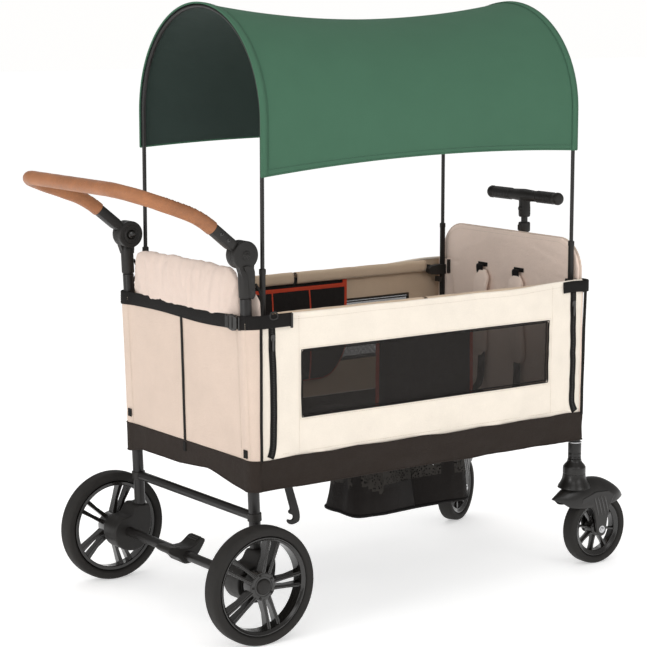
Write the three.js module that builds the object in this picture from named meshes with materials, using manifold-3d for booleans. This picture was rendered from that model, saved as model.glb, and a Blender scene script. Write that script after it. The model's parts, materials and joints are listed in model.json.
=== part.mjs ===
// Folding children's pull wagon: a fabric tub on a folding frame, with a leather push handle
// at the rear, a telescopic pull handle at the front and an arched canopy on four poles.
// Millimetres, +Z up, +X the way it is pulled, +Y to its left. The ground is Z = 0.
import * as THREE from "three";
import { mergeVertices } from "three/addons/utils/BufferGeometryUtils.js";
import Module from "manifold-3d";

const wasm = await Module();
wasm.setup();

// ---- driving dimensions ----------------------------------------------------------------
const GAP = 0.3; // left between touching pieces
const LENGTH_CENTRE = 406.5; // from the rear axle to the middle of the whole length

const REAR_WHEEL = { radius: 127, width: 41, y: 309, rimRadius: 106, hubRadius: 31, bore: 6.6 };
const AXLE = { radius: 11, stubRadius: 6, housingOuter: 284, stubEnd: 322 };
const POST = { radius: 12.5, y: 240.8, bottomZ: 186, topZ: 722 };
const CROSSBAR_Z = 254.6;

const TUB = { side: 267, panelThickness: 7, rearX: 32, frontX: 932, topZ: 684, seamZ: 378, hemZ: 313 };
const FRONT = { postX: 940, postTopZ: 688, sleeveTopZ: 301, sleeveRadius: 15.5, sleeveBottomZ: 262.3 };

const FOLD = { rearX: 65, frontX: 885, z: 332, boardThickness: 10, matThickness: 25, halfWidth: 226 };
const RAIL = { y: 252.5, z: 668, radius: 6.5, eyeRadius: 9, pinRadius: 3.5, endGap: 22 };

const HANDLE = { x: 9.3, y: 235.5, z: 813, discRadius: 30, discInner: 217, discOuter: 253 };
const BUTTON = { radius: 9, proud: 4 };
const ARM_RISE = THREE.MathUtils.degToRad(39);
const ARM_LENGTH = 95;
const GRIP = { barX: -263, barZ: 958, radius: 15.5, tubeRadius: 11, corner: 80 };

const POLE = { radius: 4.5, y: 238, rearX: 57.6, frontX: 919.4, bottomZ: 640, springZ: 1083 };
const SOCKET = { radius: 6.6, bore: 5.3, bottomZ: 470, topZ: 780 };
const CANOPY = { overhang: 7, hemZ: 980, thickness: 3 };

const CASTER = { y: 240.8, trail: 66, radius: 86, width: 36, rimRadius: 68, leftTurn: 28 };
const PULL = { x: 982, pivotZ: 310, tubeRadius: 11, rodRadius: 8, tubeTopZ: 800, rodBottomZ: 450 };
const PULL_GRIP = { z: 865, halfWidth: 128, radius: 14.5 };
const BASKET = { rearX: 425, frontX: 768, topZ: 306, bottomZ: 155, halfWidth: 76, wall: 3 };
const HOOK = { x: 155, y: -181, pivotZ: 320, tipZ: 207 };

// ---- materials ---------------------------------------------------------------------------
const finish = (color, roughness, metalness = 0) =>
  new THREE.MeshStandardMaterial({ color, roughness, metalness });
const FRAME_BLACK = finish(0x1b1b1c, 0.45, 0.6);
const PLASTIC_BLACK = finish(0x222223, 0.55);
const RIM_BLACK = finish(0x191a1b, 0.3);
const TYRE_BLACK = finish(0x2a2b2c, 0.85);
const LEATHER_TAN = finish(0xa8662f, 0.55);
const FABRIC_BLUSH = finish(0xd8c0b0, 0.9);
const FABRIC_CREAM = finish(0xf0e6d2, 0.9);
const FABRIC_GREEN = finish(0x2f7358, 0.9);
const FABRIC_BLACK = finish(0x1d1c1c, 0.95);

// ---- solids ------------------------------------------------------------------------------
function toSolid(geometry) {
  const bare = geometry.clone();
  bare.deleteAttribute("normal");
  bare.deleteAttribute("uv");
  const merged = mergeVertices(bare, 1e-4);
  return new wasm.Manifold(
    new wasm.Mesh({
      numProp: 3,
      vertProperties: new Float32Array(merged.attributes.position.array),
      triVerts: new Uint32Array(merged.index.array),
    }),
  );
}

function toGeometry(solid) {
  const mesh = solid.getMesh();
  const geometry = new THREE.BufferGeometry();
  geometry.setAttribute("position", new THREE.BufferAttribute(new Float32Array(mesh.vertProperties), 3));
  geometry.setIndex(new THREE.BufferAttribute(new Uint32Array(mesh.triVerts), 1));
  geometry.computeVertexNormals();
  return geometry;
}

const join = (...solids) => solids.reduce((sum, solid) => sum.add(solid));
const cut = (solid, ...tools) => tools.reduce((rest, tool) => rest.subtract(tool), solid);

// A box between two corners.
function block(low, high) {
  const size = high.map((value, i) => value - low[i]);
  const box = new THREE.BoxGeometry(...size);
  box.translate(low[0] + size[0] / 2, low[1] + size[1] / 2, low[2] + size[2] / 2);
  return toSolid(box);
}

// A round bar from one point to another.
function rod(from, to, radius, segments = 12) {
  const start = new THREE.Vector3(...from);
  const run = new THREE.Vector3(...to).sub(start);
  const bar = new THREE.CylinderGeometry(radius, radius, run.length(), segments);
  bar.translate(0, run.length() / 2, 0);
  bar.applyQuaternion(new THREE.Quaternion().setFromUnitVectors(new THREE.Vector3(0, 1, 0), run.normalize()));
  bar.translate(...from);
  return toSolid(bar);
}

// A profile of [radius, height] points turned about the Z axis; closed rings stay open inside.
function turned(profile, segments, ring = false) {
  const points = profile.map(([r, h]) => new THREE.Vector2(r, h));
  if (ring) points.push(points[0].clone());
  const lathe = new THREE.LatheGeometry(points, segments);
  lathe.rotateX(Math.PI / 2);
  return toSolid(lathe);
}

// An outline of [x, z] points, as thick as the space between two Y values.
function plateXZ(outline, y0, y1) {
  const shape = new THREE.Shape(outline.map(([x, z]) => new THREE.Vector2(x, z)));
  const plate = new THREE.ExtrudeGeometry(shape, { depth: Math.abs(y1 - y0), bevelEnabled: false });
  plate.rotateX(Math.PI / 2);
  plate.translate(0, Math.max(y0, y1), 0);
  return toSolid(plate);
}

// An outline of [y, z] points, as thick as the space between two X values.
function plateYZ(outline, x0, x1) {
  const shape = new THREE.Shape(outline.map(([y, z]) => new THREE.Vector2(y, z)));
  const plate = new THREE.ExtrudeGeometry(shape, { depth: x1 - x0, bevelEnabled: false });
  plate.applyMatrix4(new THREE.Matrix4().set(0, 0, 1, x0, 1, 0, 0, 0, 0, 1, 0, 0, 0, 0, 0, 1));
  return toSolid(plate);
}

// A round section swept along a curve, hollow when an inner radius is given.
function sweep(path, radius, segments, steps, innerRadius = 0) {
  const circle = (r) =>
    Array.from({ length: segments }, (_, i) => {
      const turn = (2 * Math.PI * i) / segments;
      return new THREE.Vector2(r * Math.cos(turn), r * Math.sin(turn));
    });
  const shape = new THREE.Shape(circle(radius));
  if (innerRadius) shape.holes.push(new THREE.Path(circle(innerRadius)));
  return toSolid(new THREE.ExtrudeGeometry(shape, { steps, bevelEnabled: false, extrudePath: path }));
}

// A rounded corner between two straight runs.
function corner(from, apex, to) {
  const roundness = 0.5523;
  const near = from.clone().lerp(apex, roundness);
  const far = to.clone().lerp(apex, roundness);
  return new THREE.CubicBezierCurve3(from, near, far, to);
}

const lean = (HANDLE.x - 32.7) / (HANDLE.z - CROSSBAR_Z);
const postX = (z) => 32.7 + lean * (z - CROSSBAR_Z);

// ---- scene graph -------------------------------------------------------------------------
const wagon = new THREE.Group();
wagon.position.x = -LENGTH_CENTRE;

function piece(name, solid, material, parent = wagon) {
  const mesh = new THREE.Mesh(toGeometry(solid), material);
  mesh.name = name;
  parent.add(mesh);
}

const SIDES = [
  { name: "left", sign: 1 },
  { name: "right", sign: -1 },
];

// ---- rear frame --------------------------------------------------------------------------
function rearPost(sign, radius = POST.radius) {
  const y = sign * POST.y;
  return rod([postX(POST.bottomZ), y, POST.bottomZ], [postX(POST.topZ), y, POST.topZ], radius);
}

function rearFrame() {
  for (const { name, sign } of SIDES) {
    piece(`rear_post_${name}`, rearPost(sign), FRAME_BLACK);
    piece(`axle_housing_${name}`, axleHousing(sign), PLASTIC_BLACK);
  }
  const reach = POST.y - POST.radius - GAP;
  const barX = postX(CROSSBAR_Z);
  piece("rear_crossbar", rod([barX, -reach, CROSSBAR_Z], [barX, reach, CROSSBAR_Z], 10), FRAME_BLACK);
  piece("rear_sill", sill(38, FOLD.rearX), FRAME_BLACK);
  piece("rear_axle", rearAxle(), FRAME_BLACK);
}

function rearAxle() {
  const z = REAR_WHEEL.radius;
  const tube = rod([0, -AXLE.housingOuter, z], [0, AXLE.housingOuter, z], AXLE.radius);
  const stubs = rod([0, -AXLE.stubEnd, z], [0, AXLE.stubEnd, z], AXLE.stubRadius);
  return join(tube, stubs);
}

// The moulded housing that carries the axle behind the foot of the rear post.
function axleHousing(sign) {
  const top = POST.bottomZ - 1;
  const outline = [
    [20, top], [54, top], [58, 148], [42, 98], [14, 82],
    [-18, 88], [-36, 112], [-36, 140], [-20, 160], [8, 164],
  ];
  const body = plateXZ(outline, sign * 227, sign * AXLE.housingOuter);
  const z = REAR_WHEEL.radius;
  const bore = rod([0, sign * 200, z], [0, sign * 300, z], AXLE.radius + GAP);
  return cut(body, bore);
}

// A cross tube between two posts with two round-ended ears that carry the pins of a floor half.
function sill(x, pinX) {
  const reach = POST.y - POST.radius - GAP;
  const earRadius = 7;
  let solid = rod([x, -reach, FOLD.z], [x, reach, FOLD.z], 8);
  for (const y of [-200, 192]) {
    const [x0, x1] = [Math.min(x, pinX), Math.max(x, pinX)];
    solid = solid.add(block([x0, y, FOLD.z - earRadius], [x1, y + 8, FOLD.z + earRadius]));
    solid = solid.add(rod([pinX, y, FOLD.z], [pinX, y + 8, FOLD.z], earRadius));
  }
  return cut(solid, rod([pinX, -210, FOLD.z], [pinX, 210, FOLD.z], 4.4));
}

// ---- folding floor -----------------------------------------------------------------------
// The pins and the middle hinge lie on the underside, so that the halves fold up like a roof.
const FOLD_MIDDLE = (FOLD.rearX + FOLD.frontX) / 2;
const KNUCKLES = [-200, -120, -40, 40, 120];
const KNUCKLE_WIDTH = 40;
const KNUCKLE_RADIUS = 5;

function floorBoard(endX, facing, knuckleShift) {
  const middleEdge = FOLD_MIDDLE - facing * 8;
  const endEdge = endX + facing * 8;
  const [x0, x1] = [Math.min(middleEdge, endEdge), Math.max(middleEdge, endEdge)];
  const top = FOLD.z + FOLD.boardThickness;
  let solid = block([x0, -FOLD.halfWidth, FOLD.z], [x1, FOLD.halfWidth, top]);
  // end tongue with its two pins
  solid = solid.add(block([Math.min(endX, endEdge), -190, FOLD.z], [Math.max(endX, endEdge), 190, top - 2]));
  solid = solid.add(rod([endX, -190, FOLD.z], [endX, 190, FOLD.z], 7));
  solid = solid.add(rod([endX, -199, FOLD.z], [endX, 199, FOLD.z], 4));
  for (const start of KNUCKLES) {
    const y0 = start + knuckleShift + GAP;
    const y1 = y0 + KNUCKLE_WIDTH - 2 * GAP;
    const [a, b] = [Math.min(middleEdge, FOLD_MIDDLE), Math.max(middleEdge, FOLD_MIDDLE)];
    solid = solid.add(block([a, y0, FOLD.z], [b, y1, top]));
    solid = solid.add(rod([FOLD_MIDDLE, y0, FOLD.z], [FOLD_MIDDLE, y1, FOLD.z], KNUCKLE_RADIUS));
  }
  return solid;
}

function floorMat(endX, facing) {
  const [a, b] = [endX + facing * 10, FOLD_MIDDLE - facing * 10];
  const z = FOLD.z + FOLD.boardThickness + GAP;
  return block([Math.min(a, b), -222, z], [Math.max(a, b), 222, z + FOLD.matThickness]);
}

function foldingFloor() {
  const hingePin = (radius) => rod([FOLD_MIDDLE, -205, FOLD.z], [FOLD_MIDDLE, 205, FOLD.z], radius);
  const hookLug = join(
    block([HOOK.x - 7, HOOK.y + 5, HOOK.pivotZ - 6], [HOOK.x + 7, HOOK.y + 11, FOLD.z + 1]),
    rod([HOOK.x, HOOK.y + 6, HOOK.pivotZ], [HOOK.x, HOOK.y - 6, HOOK.pivotZ], 3),
  );
  const rear = join(floorBoard(FOLD.rearX, 1, 0), hingePin(2.4), hookLug);
  piece("floor_board_rear", rear, PLASTIC_BLACK);
  const front = cut(floorBoard(FOLD.frontX, -1, KNUCKLE_WIDTH), hingePin(2.9));
  piece("floor_board_front", front, PLASTIC_BLACK);
  piece("floor_mat_rear", floorMat(FOLD.rearX, 1), FABRIC_BLACK);
  piece("floor_mat_front", floorMat(FOLD.frontX, -1), FABRIC_BLACK);
  piece("fold_hook", foldHook(), PLASTIC_BLACK);
}

// The catch that hangs below the rear floor half and holds the folded halves together.
function foldHook() {
  const { x, pivotZ, tipZ, y } = HOOK;
  const outline = [
    [x - 6, pivotZ + 6], [x + 6, pivotZ + 6], [x + 12, pivotZ - 20], [x + 28, pivotZ - 70], [x + 34, tipZ + 8],
    [x + 28, tipZ], [x + 6, tipZ], [x + 2, tipZ + 8], [x + 15, tipZ + 9], [x + 17, tipZ + 17], [x + 6, tipZ + 24],
    [x + 9, tipZ + 33], [x + 3, pivotZ - 58], [x - 6, pivotZ - 20],
  ];
  return cut(plateXZ(outline, y - 3, y + 3), rod([x, y - 9, pivotZ], [x, y + 9, pivotZ], 3.4));
}

// ---- folding top rails -------------------------------------------------------------------
function railHalf(sign, facing) {
  const endX = facing > 0 ? FOLD.rearX : FOLD.frontX;
  const y = sign * RAIL.y;
  const at = (x, yy) => [x, yy, RAIL.z];
  const tubeStart = endX + facing * 10;
  const tubeEnd = FOLD_MIDDLE - facing * RAIL.endGap;
  let solid = rod(at(tubeStart, y), at(tubeEnd, y), RAIL.radius);
  solid = solid.add(rod(at(endX, y - 5.5), at(endX, y + 5.5), RAIL.eyeRadius));
  solid = solid.add(block([Math.min(endX, tubeStart), y - 5.5, RAIL.z - 5], [Math.max(endX, tubeStart), y + 5.5, RAIL.z + 5]));
  // half lap at the middle hinge: the rear half lies inboard and carries the pin
  const lap = facing * -sign;
  const [inner, outer] = [y + lap * GAP, y + lap * 6];
  const tabEnd = tubeEnd - facing * 3;
  const [x0, x1] = [Math.min(tabEnd, FOLD_MIDDLE), Math.max(tabEnd, FOLD_MIDDLE)];
  solid = solid.add(block([x0, Math.min(inner, outer), RAIL.z - 6], [x1, Math.max(inner, outer), RAIL.z + 6]));
  solid = solid.add(rod(at(FOLD_MIDDLE, inner), at(FOLD_MIDDLE, outer), RAIL.eyeRadius));
  if (facing > 0) {
    solid = solid.add(rod(at(FOLD_MIDDLE, inner), at(FOLD_MIDDLE, y + sign * 5.5), RAIL.pinRadius));
  } else {
    solid = cut(solid, rod(at(FOLD_MIDDLE, y - 10), at(FOLD_MIDDLE, y + 10), RAIL.pinRadius + 0.5));
  }
  return cut(solid, rod(at(endX, y - 10), at(endX, y + 10), RAIL.pinRadius + 0.8));
}

function topRails() {
  for (const { name, sign } of SIDES) {
    piece(`top_rail_rear_${name}`, railHalf(sign, 1), FRAME_BLACK);
    piece(`top_rail_front_${name}`, railHalf(sign, -1), FRAME_BLACK);
  }
}

// ---- canopy poles, sockets and cover -----------------------------------------------------
// Each socket tube is clamped to its post and also carries the pin of a top rail.
function poleSocket(sign, poleX, pinX, post) {
  const y = sign * POLE.y;
  const tube = rod([poleX, y, SOCKET.bottomZ], [poleX, y, SOCKET.topZ], SOCKET.radius);
  const [x0, x1] = poleX < FOLD_MIDDLE ? [20, pinX + 6] : [pinX - 6, FRONT.postX - 4];
  const [y0, y1] = [sign * 228, sign * 245];
  const clamp = block([x0, Math.min(y0, y1), RAIL.z - 14], [x1, Math.max(y0, y1), RAIL.z + 7]);
  const pin = rod([pinX, y1 - sign, RAIL.z], [pinX, sign * 258, RAIL.z], RAIL.pinRadius);
  const bore = rod([poleX, y, SOCKET.bottomZ + 4], [poleX, y, SOCKET.topZ + 4], SOCKET.bore);
  return cut(join(tube, clamp, pin), bore, post);
}

function canopyBow(x) {
  const top = POLE.springZ;
  const arch = new THREE.CurvePath();
  const leg = (y, z0, z1) => new THREE.LineCurve3(new THREE.Vector3(x, y, z0), new THREE.Vector3(x, y, z1));
  arch.add(leg(POLE.y, POLE.bottomZ, top));
  class Arc extends THREE.Curve {
    getPoint(t, target = new THREE.Vector3()) {
      return target.set(x, POLE.y * Math.cos(Math.PI * t), top + POLE.y * Math.sin(Math.PI * t));
    }
  }
  arch.add(new Arc());
  arch.add(leg(-POLE.y, top, POLE.bottomZ));
  return sweep(arch, POLE.radius, 6, 36);
}

// The cover is one arched sheet that lies over both bows and hangs down at the sides.
function canopyCover() {
  const inner = POLE.y + POLE.radius + 2 * GAP;
  const outer = inner + CANOPY.thickness;
  const arcPoints = 24;
  const arch = (r) =>
    Array.from({ length: arcPoints + 1 }, (_, i) => {
      const turn = (Math.PI * i) / arcPoints;
      return [r * Math.cos(turn), POLE.springZ + r * Math.sin(turn)];
    });
  const outline = [
    [outer, CANOPY.hemZ], ...arch(outer), [-outer, CANOPY.hemZ],
    [-inner, CANOPY.hemZ], ...arch(inner).reverse(), [inner, CANOPY.hemZ],
  ];
  return plateYZ(outline, POLE.rearX - CANOPY.overhang, POLE.frontX + CANOPY.overhang);
}

function canopy() {
  for (const { name, sign } of SIDES) {
    const rearCut = rearPost(sign, POST.radius + GAP);
    piece(`canopy_socket_rear_${name}`, poleSocket(sign, POLE.rearX, FOLD.rearX, rearCut), PLASTIC_BLACK);
    const frontCut = rod([FRONT.postX, sign * POST.y, 300], [FRONT.postX, sign * POST.y, 700], POST.radius + GAP);
    piece(`canopy_socket_front_${name}`, poleSocket(sign, POLE.frontX, FOLD.frontX, frontCut), PLASTIC_BLACK);
  }
  piece("canopy_bow_rear", canopyBow(POLE.rearX), FRAME_BLACK);
  piece("canopy_bow_front", canopyBow(POLE.frontX), FRAME_BLACK);
  piece("canopy_cover", canopyCover(), FABRIC_GREEN);
}

// ---- push handle -------------------------------------------------------------------------
// The post carries the outer half of each joint; the arm carries the inner half and the button.
function jointDisc(sign, fromY, toY, radius) {
  return rod([HANDLE.x, sign * fromY, HANDLE.z], [HANDLE.x, sign * toY, HANDLE.z], radius, 20);
}

function handleBracket(sign) {
  const disc = jointDisc(sign, HANDLE.y + GAP, HANDLE.discOuter, HANDLE.discRadius);
  const bottom = POST.topZ + 1;
  const x = postX(bottom);
  const [y0, y1] = [sign * 226, sign * 256];
  const sleeve = block([x - 14, Math.min(y0, y1), bottom], [x + 14, Math.max(y0, y1), 779]);
  const [n0, n1] = [sign * (HANDLE.y + GAP), sign * HANDLE.discOuter];
  const neck = block([x - 14, Math.min(n0, n1), 770], [x + 14, Math.max(n0, n1), 800]);
  return join(disc, sleeve, neck);
}

// An arm-shaped bar, laid along the rising line of the arm, as wide as the space between two Y values.
function armBar(sign, from, to, y0, y1) {
  const bar = new THREE.BoxGeometry(to - from, y1 - y0, 25);
  bar.translate(-(from + to) / 2, 0, 0);
  bar.rotateY(ARM_RISE);
  bar.translate(HANDLE.x, (sign * (y0 + y1)) / 2, HANDLE.z);
  return toSolid(bar);
}

function handleArm(sign) {
  const disc = jointDisc(sign, HANDLE.discInner, HANDLE.y - GAP, HANDLE.discRadius);
  const bridge = armBar(sign, 5, 55, HANDLE.discInner + 2, HANDLE.y - GAP);
  const arm = armBar(sign, 33, ARM_LENGTH, 219, 251);
  const buttonWell = jointDisc(sign, HANDLE.discInner - 10, HANDLE.discInner + 8, BUTTON.radius + GAP);
  return cut(join(disc, bridge, arm), buttonWell);
}

function gripPath() {
  const start = new THREE.Vector3(
    HANDLE.x - (ARM_LENGTH + GAP) * Math.cos(ARM_RISE),
    HANDLE.y,
    HANDLE.z + (ARM_LENGTH + GAP) * Math.sin(ARM_RISE),
  );
  const bendEnd = new THREE.Vector3(-128, HANDLE.y, 909);
  const bendApex = new THREE.Vector3(-92, HANDLE.y, 895);
  const apex = new THREE.Vector3(GRIP.barX, HANDLE.y, GRIP.barZ);
  const armRun = apex.clone().sub(bendEnd);
  const cornerStart = apex.clone().addScaledVector(armRun.normalize(), -GRIP.corner);
  const cornerEnd = new THREE.Vector3(GRIP.barX, HANDLE.y - GRIP.corner, GRIP.barZ);
  const half = [
    new THREE.QuadraticBezierCurve3(start, bendApex, bendEnd),
    new THREE.LineCurve3(bendEnd, cornerStart),
    corner(cornerStart, apex, cornerEnd),
  ];
  const mirrored = (v) => new THREE.Vector3(v.x, -v.y, v.z);
  const path = new THREE.CurvePath();
  half.forEach((curve) => path.add(curve));
  path.add(new THREE.LineCurve3(cornerEnd, mirrored(cornerEnd)));
  path.add(corner(mirrored(cornerEnd), mirrored(apex), mirrored(cornerStart)));
  path.add(new THREE.LineCurve3(mirrored(cornerStart), mirrored(bendEnd)));
  path.add(new THREE.QuadraticBezierCurve3(mirrored(bendEnd), mirrored(bendApex), mirrored(start)));
  return path;
}

function pushHandle() {
  for (const { name, sign } of SIDES) {
    piece(`handle_bracket_${name}`, handleBracket(sign), PLASTIC_BLACK);
    piece(`handle_arm_${name}`, handleArm(sign), PLASTIC_BLACK);
    const buttonFace = HANDLE.discInner - BUTTON.proud;
    piece(`handle_button_${name}`, jointDisc(sign, buttonFace, buttonFace + 6, BUTTON.radius), RIM_BLACK);
  }
  const path = gripPath();
  piece("handle_tube", sweep(path, GRIP.tubeRadius, 8, 30), FRAME_BLACK);
  piece("handle_grip", sweep(path, GRIP.radius, 8, 30, GRIP.tubeRadius + 0.6), LEATHER_TAN);
}

// ---- tub fabric --------------------------------------------------------------------------
// Soft walls as plain closed solids; the rear wall leans with the posts.
function leaned(solid) {
  // each point moves along X by the posts' lean, measured from the ground
  return solid.transform([1, 0, 0, 0, 0, 1, 0, 0, lean, 0, 1, 0, 0, 0, 0, 1]);
}

function rearPanel() {
  const half = 226;
  const outline = [
    [-half, TUB.hemZ], [-190, TUB.hemZ + 3], [-90, TUB.hemZ + 20], [90, TUB.hemZ + 12],
    [190, TUB.hemZ + 10], [half, TUB.hemZ], [half, TUB.topZ], [-half, TUB.topZ],
  ];
  const rearFace = 5 - lean * TUB.topZ;
  return leaned(plateYZ(outline, rearFace, rearFace + 6));
}

function rearHeadrest() {
  const [z0, z1] = [TUB.topZ + GAP, 790];
  const outline = [[-210, z0], [210, z0], [208, z1 - 30], [190, z1], [-190, z1], [-208, z1 - 30]];
  const rearFace = 5 - lean * TUB.topZ;
  return leaned(plateYZ(outline, rearFace, rearFace + 34));
}

function frontBackrest() {
  const [z0, z1] = [FRONT.postTopZ + GAP, 785];
  const cornerRadius = 72;
  const half = 255;
  const round = (sign) =>
    Array.from({ length: 7 }, (_, i) => {
      const turn = (Math.PI / 2) * (i / 6);
      const y = half - cornerRadius + cornerRadius * Math.cos(turn);
      return [sign * y, z1 - cornerRadius + cornerRadius * Math.sin(turn)];
    });
  const outline = [[-half, z0], [half, z0], ...round(1), ...round(-1).reverse()];
  return plateYZ(outline, 929, 947);
}

function sidePanel(sign) {
  const outer = sign * TUB.side;
  const inner = sign * (TUB.side - TUB.panelThickness);
  const [y0, y1] = [Math.min(outer, inner), Math.max(outer, inner)];
  const wall = block([TUB.rearX, y0, TUB.seamZ - 1], [TUB.frontX, y1, TUB.topZ]);
  const skirtOut = sign > 0 ? [y0, y1 + 3] : [y0 - 3, y1];
  return join(wall, block([TUB.rearX, skirtOut[0], TUB.hemZ], [TUB.frontX, skirtOut[1], TUB.seamZ]));
}

function basket() {
  const { rearX, frontX, topZ, bottomZ, halfWidth, wall } = BASKET;
  const lean = 10; // the ends lean in towards the top
  const shellOutline = (inset) => [
    [rearX + lean + inset, topZ + (inset ? 5 : 0)], [rearX + inset, bottomZ + inset],
    [frontX - inset, bottomZ + inset], [frontX - lean - inset, topZ + (inset ? 5 : 0)],
  ];
  const outside = plateXZ(shellOutline(0), -halfWidth, halfWidth);
  return cut(outside, plateXZ(shellOutline(wall), -halfWidth + wall, halfWidth - wall));
}

function tub() {
  piece("rear_panel", rearPanel(), FABRIC_BLUSH);
  piece("rear_headrest", rearHeadrest(), FABRIC_BLUSH);
  piece("front_panel", block([929, -226, 346], [934, 226, FRONT.postTopZ]), FABRIC_BLUSH);
  piece("front_backrest", frontBackrest(), FABRIC_BLUSH);
  for (const { name, sign } of SIDES) piece(`side_panel_${name}`, sidePanel(sign), FABRIC_CREAM);
  piece("side_pocket", block([300, 240, 410], [640, 259.4, 640]), FABRIC_BLACK);
  piece("basket", basket(), FABRIC_BLACK);
  piece("strap_buckle", block([-9, -236, 655], [2, -198, 681]), PLASTIC_BLACK);
}

// ---- front frame and casters -------------------------------------------------------------
function frontPost(sign) {
  const [x, y] = [FRONT.postX, sign * POST.y];
  const tube = rod([x, y, FRONT.sleeveTopZ - 1], [x, y, FRONT.postTopZ], POST.radius);
  const sleeve = rod([x, y, FRONT.sleeveBottomZ], [x, y, FRONT.sleeveTopZ], FRONT.sleeveRadius);
  return cut(join(tube, sleeve), rod([x, y, 250], [x, y, 297], 8.4));
}

function frontFrame() {
  for (const { name, sign } of SIDES) piece(`front_post_${name}`, frontPost(sign), FRAME_BLACK);
  piece("front_sill", sill(944, FOLD.frontX), FRAME_BLACK);
  piece("pull_bracket", pullBracket(), PLASTIC_BLACK);
}

// In the caster's own frame the swivel axis is the Z axis and the wheel trails along +X.
function casterFork() {
  const { trail, radius } = CASTER;
  const axleZ = radius;
  const housing = turned([[0, 196], [27, 196], [27, 244], [17, 262], [7.8, 262], [7.8, 294], [0, 294]], 16);
  const arc = (r, from, to, count) =>
    Array.from({ length: count + 1 }, (_, i) => {
      const turn = THREE.MathUtils.degToRad(from + ((to - from) * i) / count);
      return [trail + r * Math.cos(turn), axleZ + r * Math.sin(turn)];
    });
  const fender = plateXZ([...arc(97, 42, 142, 8), ...arc(91, 142, 42, 8)], -26, 26);
  const legOutline = [[-24, 200], [40, 186], [92, 178], [trail + 14, 80], [trail - 4, 70], [trail - 15, 80], [-20, 150]];
  const crown = block([-24, -26, 184], [26, 26, 200]);
  let solid = join(housing, fender, crown);
  for (const sign of [-1, 1]) solid = solid.add(plateXZ(legOutline, sign * 20.5, sign * 26));
  // keep the wheel's own space open below the fender
  const wheelRoom = rod([trail, -20, axleZ], [trail, 20, axleZ], 90.5, 32);
  const axlePin = rod([trail, -29, axleZ], [trail, 29, axleZ], 5);
  return join(cut(solid, wheelRoom), axlePin);
}

function wheelRing(outer, inner, width, shoulder, segments) {
  const w = width / 2;
  const profile = [
    [inner, -w + shoulder / 2], [outer - shoulder, -w], [outer, -w + shoulder],
    [outer, w - shoulder], [outer - shoulder, w], [inner, w - shoulder / 2],
  ];
  return turned(profile, segments, true);
}

// A wheel's parts are turned about Z and then laid over, so that the axle runs along Y.
const layOver = (solid) => solid.rotate([90, 0, 0]);

function rearRim() {
  const { rimRadius, hubRadius, bore } = REAR_WHEEL;
  const lip = rimRadius - GAP;
  let solid = turned([[86, -16], [lip, -16], [lip, 16], [86, 10]], 32, true);
  solid = solid.add(turned([[0, -18], [hubRadius, -18], [hubRadius, 14], [18, 21], [0, 22]], 16));
  for (let i = 0; i < 10; i += 1) {
    const pair = Math.floor(i / 2) * 72;
    const spread = i % 2 ? 11 : -11;
    const spoke = block([24, -4.5, -5], [90, 4.5, 9]);
    solid = solid.add(spoke.rotate([0, 0, pair + spread]));
  }
  return cut(solid, rod([0, 0, -30], [0, 0, 15], bore));
}

function casterRim() {
  const lip = CASTER.rimRadius - GAP;
  let solid = turned([[55, -13], [lip, -13], [lip, 13], [55, 13]], 28, true);
  solid = solid.add(rod([0, 0, -17], [0, 0, 17], 19));
  for (let i = 0; i < 8; i += 1) {
    solid = solid.add(block([14, -4, -7], [58, 4, 7]).rotate([0, 0, i * 45]));
  }
  return cut(solid, rod([0, 0, -30], [0, 0, 30], 5.6));
}

function wheels() {
  for (const { name, sign } of SIDES) {
    const hub = new THREE.Group();
    hub.position.set(0, sign * REAR_WHEEL.y, REAR_WHEEL.radius);
    // the domed side of the hub faces outwards
    hub.rotation.z = sign > 0 ? Math.PI : 0;
    wagon.add(hub);
    const tyre = wheelRing(REAR_WHEEL.radius, REAR_WHEEL.rimRadius, REAR_WHEEL.width, 8, 32);
    piece(`rear_tyre_${name}`, layOver(tyre), TYRE_BLACK, hub);
    piece(`rear_rim_${name}`, layOver(rearRim()), RIM_BLACK, hub);
  }
}

function casters() {
  for (const { name, sign } of SIDES) {
    const swivel = new THREE.Group();
    swivel.position.set(FRONT.postX, sign * CASTER.y, 0);
    swivel.rotation.z = sign > 0 ? THREE.MathUtils.degToRad(CASTER.leftTurn) : 0;
    wagon.add(swivel);
    piece(`caster_fork_${name}`, casterFork(), PLASTIC_BLACK, swivel);
    const hub = new THREE.Group();
    hub.position.set(CASTER.trail, 0, CASTER.radius);
    swivel.add(hub);
    const tyre = wheelRing(CASTER.radius, CASTER.rimRadius, CASTER.width, 8, 28);
    piece(`caster_tyre_${name}`, layOver(tyre), TYRE_BLACK, hub);
    piece(`caster_rim_${name}`, layOver(casterRim()), RIM_BLACK, hub);
  }
}

// ---- pull handle -------------------------------------------------------------------------
function pullBracket() {
  const { x, pivotZ } = PULL;
  const base = block([952.6, -20, pivotZ - 14], [964, 20, pivotZ + 30]);
  const ear = (y) => block([960, y, pivotZ - 14], [x + 12, y + 6, pivotZ + 14]);
  return join(base, ear(-20), ear(14), rod([x, -24, pivotZ], [x, 24, pivotZ], 4));
}

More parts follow.
